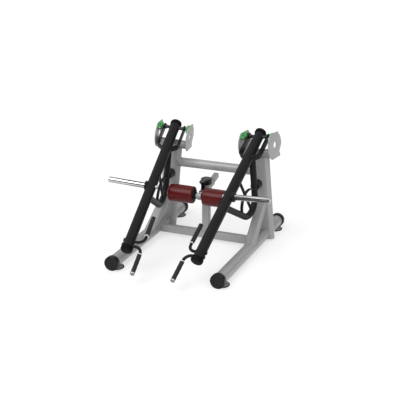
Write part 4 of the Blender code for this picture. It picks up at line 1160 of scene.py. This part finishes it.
def handle_look(name, side, along, end, place, body):
    """A bent bar through the arm tube, its nut and washer on the outer side."""
    way = math.copysign(1, end - along)
    centre = (-HANDLE_OUT + HANDLE_BEND, along + way * HANDLE_BEND)
    bend = arc(centre, HANDLE_BEND, -way * math.pi / 2, -way * math.pi, 28)
    path = [(STUB_END - 0.003, along)] + bend + [(-HANDLE_OUT, end)]
    bar = pipe([(side * x, y, 0) for x, y in path], HANDLE_RADIUS, 10)
    piece(name + "_bar", bar, "black", place, body, name)
    out = place @ at(0, along, 0) @ turn(side * math.pi / 2, "Y")
    face = ARM_RADIUS + 0.0012
    nut = joined(
        (drum(0.0205, ARM_RADIUS - 0.010, ARM_RADIUS + 0.0015, 0.0006, SMALL_TURN), Matrix()),
        (hexagon(NUT_RADIUS, face, face + NUT_THICK), Matrix()),
        (drum(HANDLE_RADIUS - 0.001, STUB_END - 0.006, STUB_END, 0.0012, SMALL_TURN), Matrix()),
    )
    piece(name + "_nut", nut, "black", out, body)
    root = circle(HANDLE_RADIUS + 0.001, 40)
    points = [(x, y, -math.sqrt(ARM_RADIUS**2 - y**2)) for y, x in root]
    weld(name + "_weld", points, HANDLE_BEAD, out, body)


def knurl(length):
    """A sleeve whose surface rises in diagonal ridges that run round it."""
    rows = int(length / KNURL_ROW)
    around = RIDGES * KNURL_STEPS
    work = bmesh.new()
    rings = []
    for i in range(rows + 1):
        z = length * i / rows
        fade = min(1.0, min(z, length - z) / RIDGE_FADE)
        ring = []
        for j in range(around):
            angle = math.tau * j / around
            ridge = 0.5 + 0.5 * math.cos(RIDGES * angle - math.tau * z / RIDGE_PITCH)
            r = GRIP_RADIUS - RIDGE_DEPTH * fade * (1 - ridge**1.5)
            ring.append(work.verts.new((r * math.cos(angle), r * math.sin(angle), z)))
        rings.append(ring)
    for low, high in zip(rings, rings[1:]):
        for j in range(around):
            k = (j + 1) % around
            work.faces.new((low[j], low[k], high[k], high[j]))
    return finished(work, 60)


def grip_look(name, side, end, way, place, body, bright):
    """A ridged sleeve with a ring at its inner end; a bright one has a second ring and a grey cap."""
    outer = place @ at(-side * HANDLE_OUT, end, 0) @ turn(-way * math.pi / 2, "X")
    inner = GRIP_END - GRIP_LENGTH
    sleeve = knurl(GRIP_LENGTH - GRIP_TIP - GRIP_RING)
    piece(name + "_sleeve", sleeve, "rubber", outer @ at(0, 0, inner + GRIP_RING), body, name)
    reach = GRIP_RADIUS + 0.0002
    half = GRIP_RING / 2
    profile = [(HANDLE_RADIUS, -half), (reach, -half), (reach, half), (HANDLE_RADIUS, half)]
    rings = [(turned(profile, 0.0012, 4), at(0, 0, inner + half))]
    start = GRIP_END - GRIP_TIP
    if bright:
        start += half - 0.001
        rings.append((turned(profile, 0.0012, 4), at(0, 0, start)))
    piece(name + "_rings", joined(*rings), "ring", outer, body)
    r = GRIP_RADIUS
    profile = [(0, GRIP_END), (r - 0.0035, GRIP_END - 0.0004), (r, GRIP_END - 0.0035), (r, start)]
    piece(name + "_cap", turned(profile, 0.0016, 4), "grip cap" if bright else "plastic", outer, body)


def arm(name, side):
    body = name + "_arm"
    place = arm_frame(side)
    mesh = prism([circle(ARM_RADIUS), circle(ARM_RADIUS - TUBE_WALL)], ARM_TOP - ARM_BOTTOM)
    middle = place @ at(0, (ARM_TOP + ARM_BOTTOM) / 2, 0) @ ALONG_Y
    tube = piece(name + "_arm_tube_steel", mesh, "black", middle, body, name + "_arm_tube")
    reach = PLATE_OUT - PLATE_THICK / 2 - 0.0008
    shaft = drum(SHAFT_RADIUS, -reach, reach, 0.0012)
    piece(name + "_shaft_steel", shaft, "steel", place @ ALONG_X, body, name + "_pivot_shaft")
    ring = [(math.sqrt(ARM_RADIUS**2 - z**2), y, z) for y, z in circle(SHAFT_RADIUS + 0.001, 48)]
    for word, way in (("outer", side), ("inner", -side)):
        weld(f"{name}_shaft_{word}_weld", [(way * x, y, z) for x, y, z in ring], SMALL_BEAD, place, body)
    arm_cap_look(name + "_arm_top_cap", ARM_TOP, 1, place, body)
    arm_cap_look(name + "_arm_bottom_cap", ARM_BOTTOM, -1, place, body)
    yoke_look(name + "_yoke_outer", side, place, body)
    yoke_look(name + "_yoke_inner", -side, place, body)
    truss_look(name, place, body, tube)
    bumper_look(name + "_bumper", side, place, body)
    horn_look(name + "_weight_horn", side, place, body)
    handle_look(name + "_handle_lower", side, LOWER_HANDLE, LOWER_HANDLE_END, place, body)
    handle_look(name + "_handle_upper", side, UPPER_HANDLE, UPPER_HANDLE_END, place, body)
    grip_look(name + "_grip_lower", side, LOWER_HANDLE_END, -1, place, body, True)
    grip_look(name + "_grip_upper", side, UPPER_HANDLE_END, 1, place, body, False)


def light_rays(tree):
    """A value of 1 for rays that see the studio: camera, glossy and transmission rays."""
    rays = tree.nodes.new("ShaderNodeLightPath")
    seen = rays.outputs["Is Camera Ray"]
    for kind in ("Is Glossy Ray", "Is Transmission Ray"):
        feeds = {0: seen, 1: rays.outputs[kind]}
        seen = wired(tree, "ShaderNodeMath", feeds, operation="MAXIMUM").outputs[0]
    return seen


def studio_floor():
    """A pale floor that glows to the eye, and still takes the machine's shadow."""
    work = bmesh.new()
    bmesh.ops.create_grid(work, x_segments=1, y_segments=1, size=FLOOR_REACH)
    mesh = bpy.data.meshes.new("studio_floor")
    work.to_mesh(mesh)
    work.free()
    floor = added("studio_floor", mesh)
    floor.location = (0, 0, FLOOR_LEVEL)
    look = Shading("studio floor", near_grey(FLOOR_COLOUR), 0.9)
    look.set("Specular IOR Level", 0.0)
    tree = look.tree
    share = wired(tree, "ShaderNodeMath", {0: light_rays(tree), 1: FLOOR_SHARE}, operation="MULTIPLY")
    glow = wired(tree, "ShaderNodeEmission", {"Strength": FLOOR_GLOW})
    feeds = {0: share.outputs[0], 1: look.shader.outputs[0], 2: glow.outputs[0]}
    mixed = wired(tree, "ShaderNodeMixShader", feeds)
    tree.links.new(mixed.outputs[0], tree.nodes["Material Output"].inputs["Surface"])
    mesh.materials.append(look.material)


def studio_world():
    """A world that the camera sees plain white, and reflections with a darker band above the horizon."""
    world = bpy.data.worlds.new("studio")
    bpy.context.scene.world = world
    world.use_nodes = True
    tree = world.node_tree
    place = tree.nodes.new("ShaderNodeTexCoord").outputs["Generated"]
    split = wired(tree, "ShaderNodeSeparateXYZ", {0: place})
    height = wired(tree, "ShaderNodeMapRange", {"From Min": -1.0, "Value": split.outputs["Z"]})
    tones = wired(tree, "ShaderNodeValToRGB", {"Fac": height.outputs["Result"]})
    ramp = tones.color_ramp.elements
    while len(ramp) < len(WORLD_TONES):
        ramp.new(0.5)
    for stop, (position, tone) in zip(ramp, WORLD_TONES):
        stop.position = position
        stop.color = (tone, tone, tone, 1)
    plain = (*near_grey(WORLD_LEVEL), 1)
    mixed = mixed_colour(tree, light_rays(tree), plain, tones.outputs["Color"])
    seen = tree.nodes.new("ShaderNodeLightPath").outputs["Is Camera Ray"]
    shown = mixed_colour(tree, seen, mixed, (1.0, 1.0, 1.0, 1.0))
    tree.links.new(shown, tree.nodes["Background"].inputs["Color"])


def studio():
    """The floor, the world and soft lamps, each with its direction, level and angle."""
    studio_floor()
    studio_world()
    for name, way, level, angle in SUNS:
        lamp = bpy.data.lights.new(name, "SUN")
        lamp.energy = level * math.pi
        lamp.angle = math.radians(angle)
        made = added(name, lamp)
        made.location = Vector(way) * 5
        made.rotation_euler = (-Vector(way)).to_track_quat("-Z", "Y").to_euler()


def camera():
    data = bpy.data.cameras.new("camera")
    data.lens = CAMERA_LENS
    data.sensor_width = CAMERA_SENSOR
    data.sensor_fit = "HORIZONTAL"
    made = added("camera", data)
    right = Vector(CAMERA_RIGHT).normalized()
    up = Vector(CAMERA_UP).normalized()
    made.matrix_world = columns(CAMERA_PLACE, right, up, right.cross(up))
    bpy.context.scene.camera = made


def build():
    clear_startup()
    tubes = []
    uprights = []
    for name, side in (("right", 1), ("left", -1)):
        tubes.append(floor_side(name, side))
        saddle = saddle_look(name, side)
        bpy.context.view_layer.update()
        uprights.append(upright_look(name, side, tubes[-1], saddle))
        bpy.context.view_layer.update()
        brace_look(name, side, tubes[-1], uprights[-1])
        pivots(name, side)
        arm(name, side)
    crossbeams(tubes, uprights)
    post()
    slide()
    pin()
    roller_look("right_roller", 1)
    roller_look("left_roller", -1)
    studio()
    camera()
    bpy.context.scene.view_settings.view_transform = "Standard"


build()
bpy.context.view_layer.update()
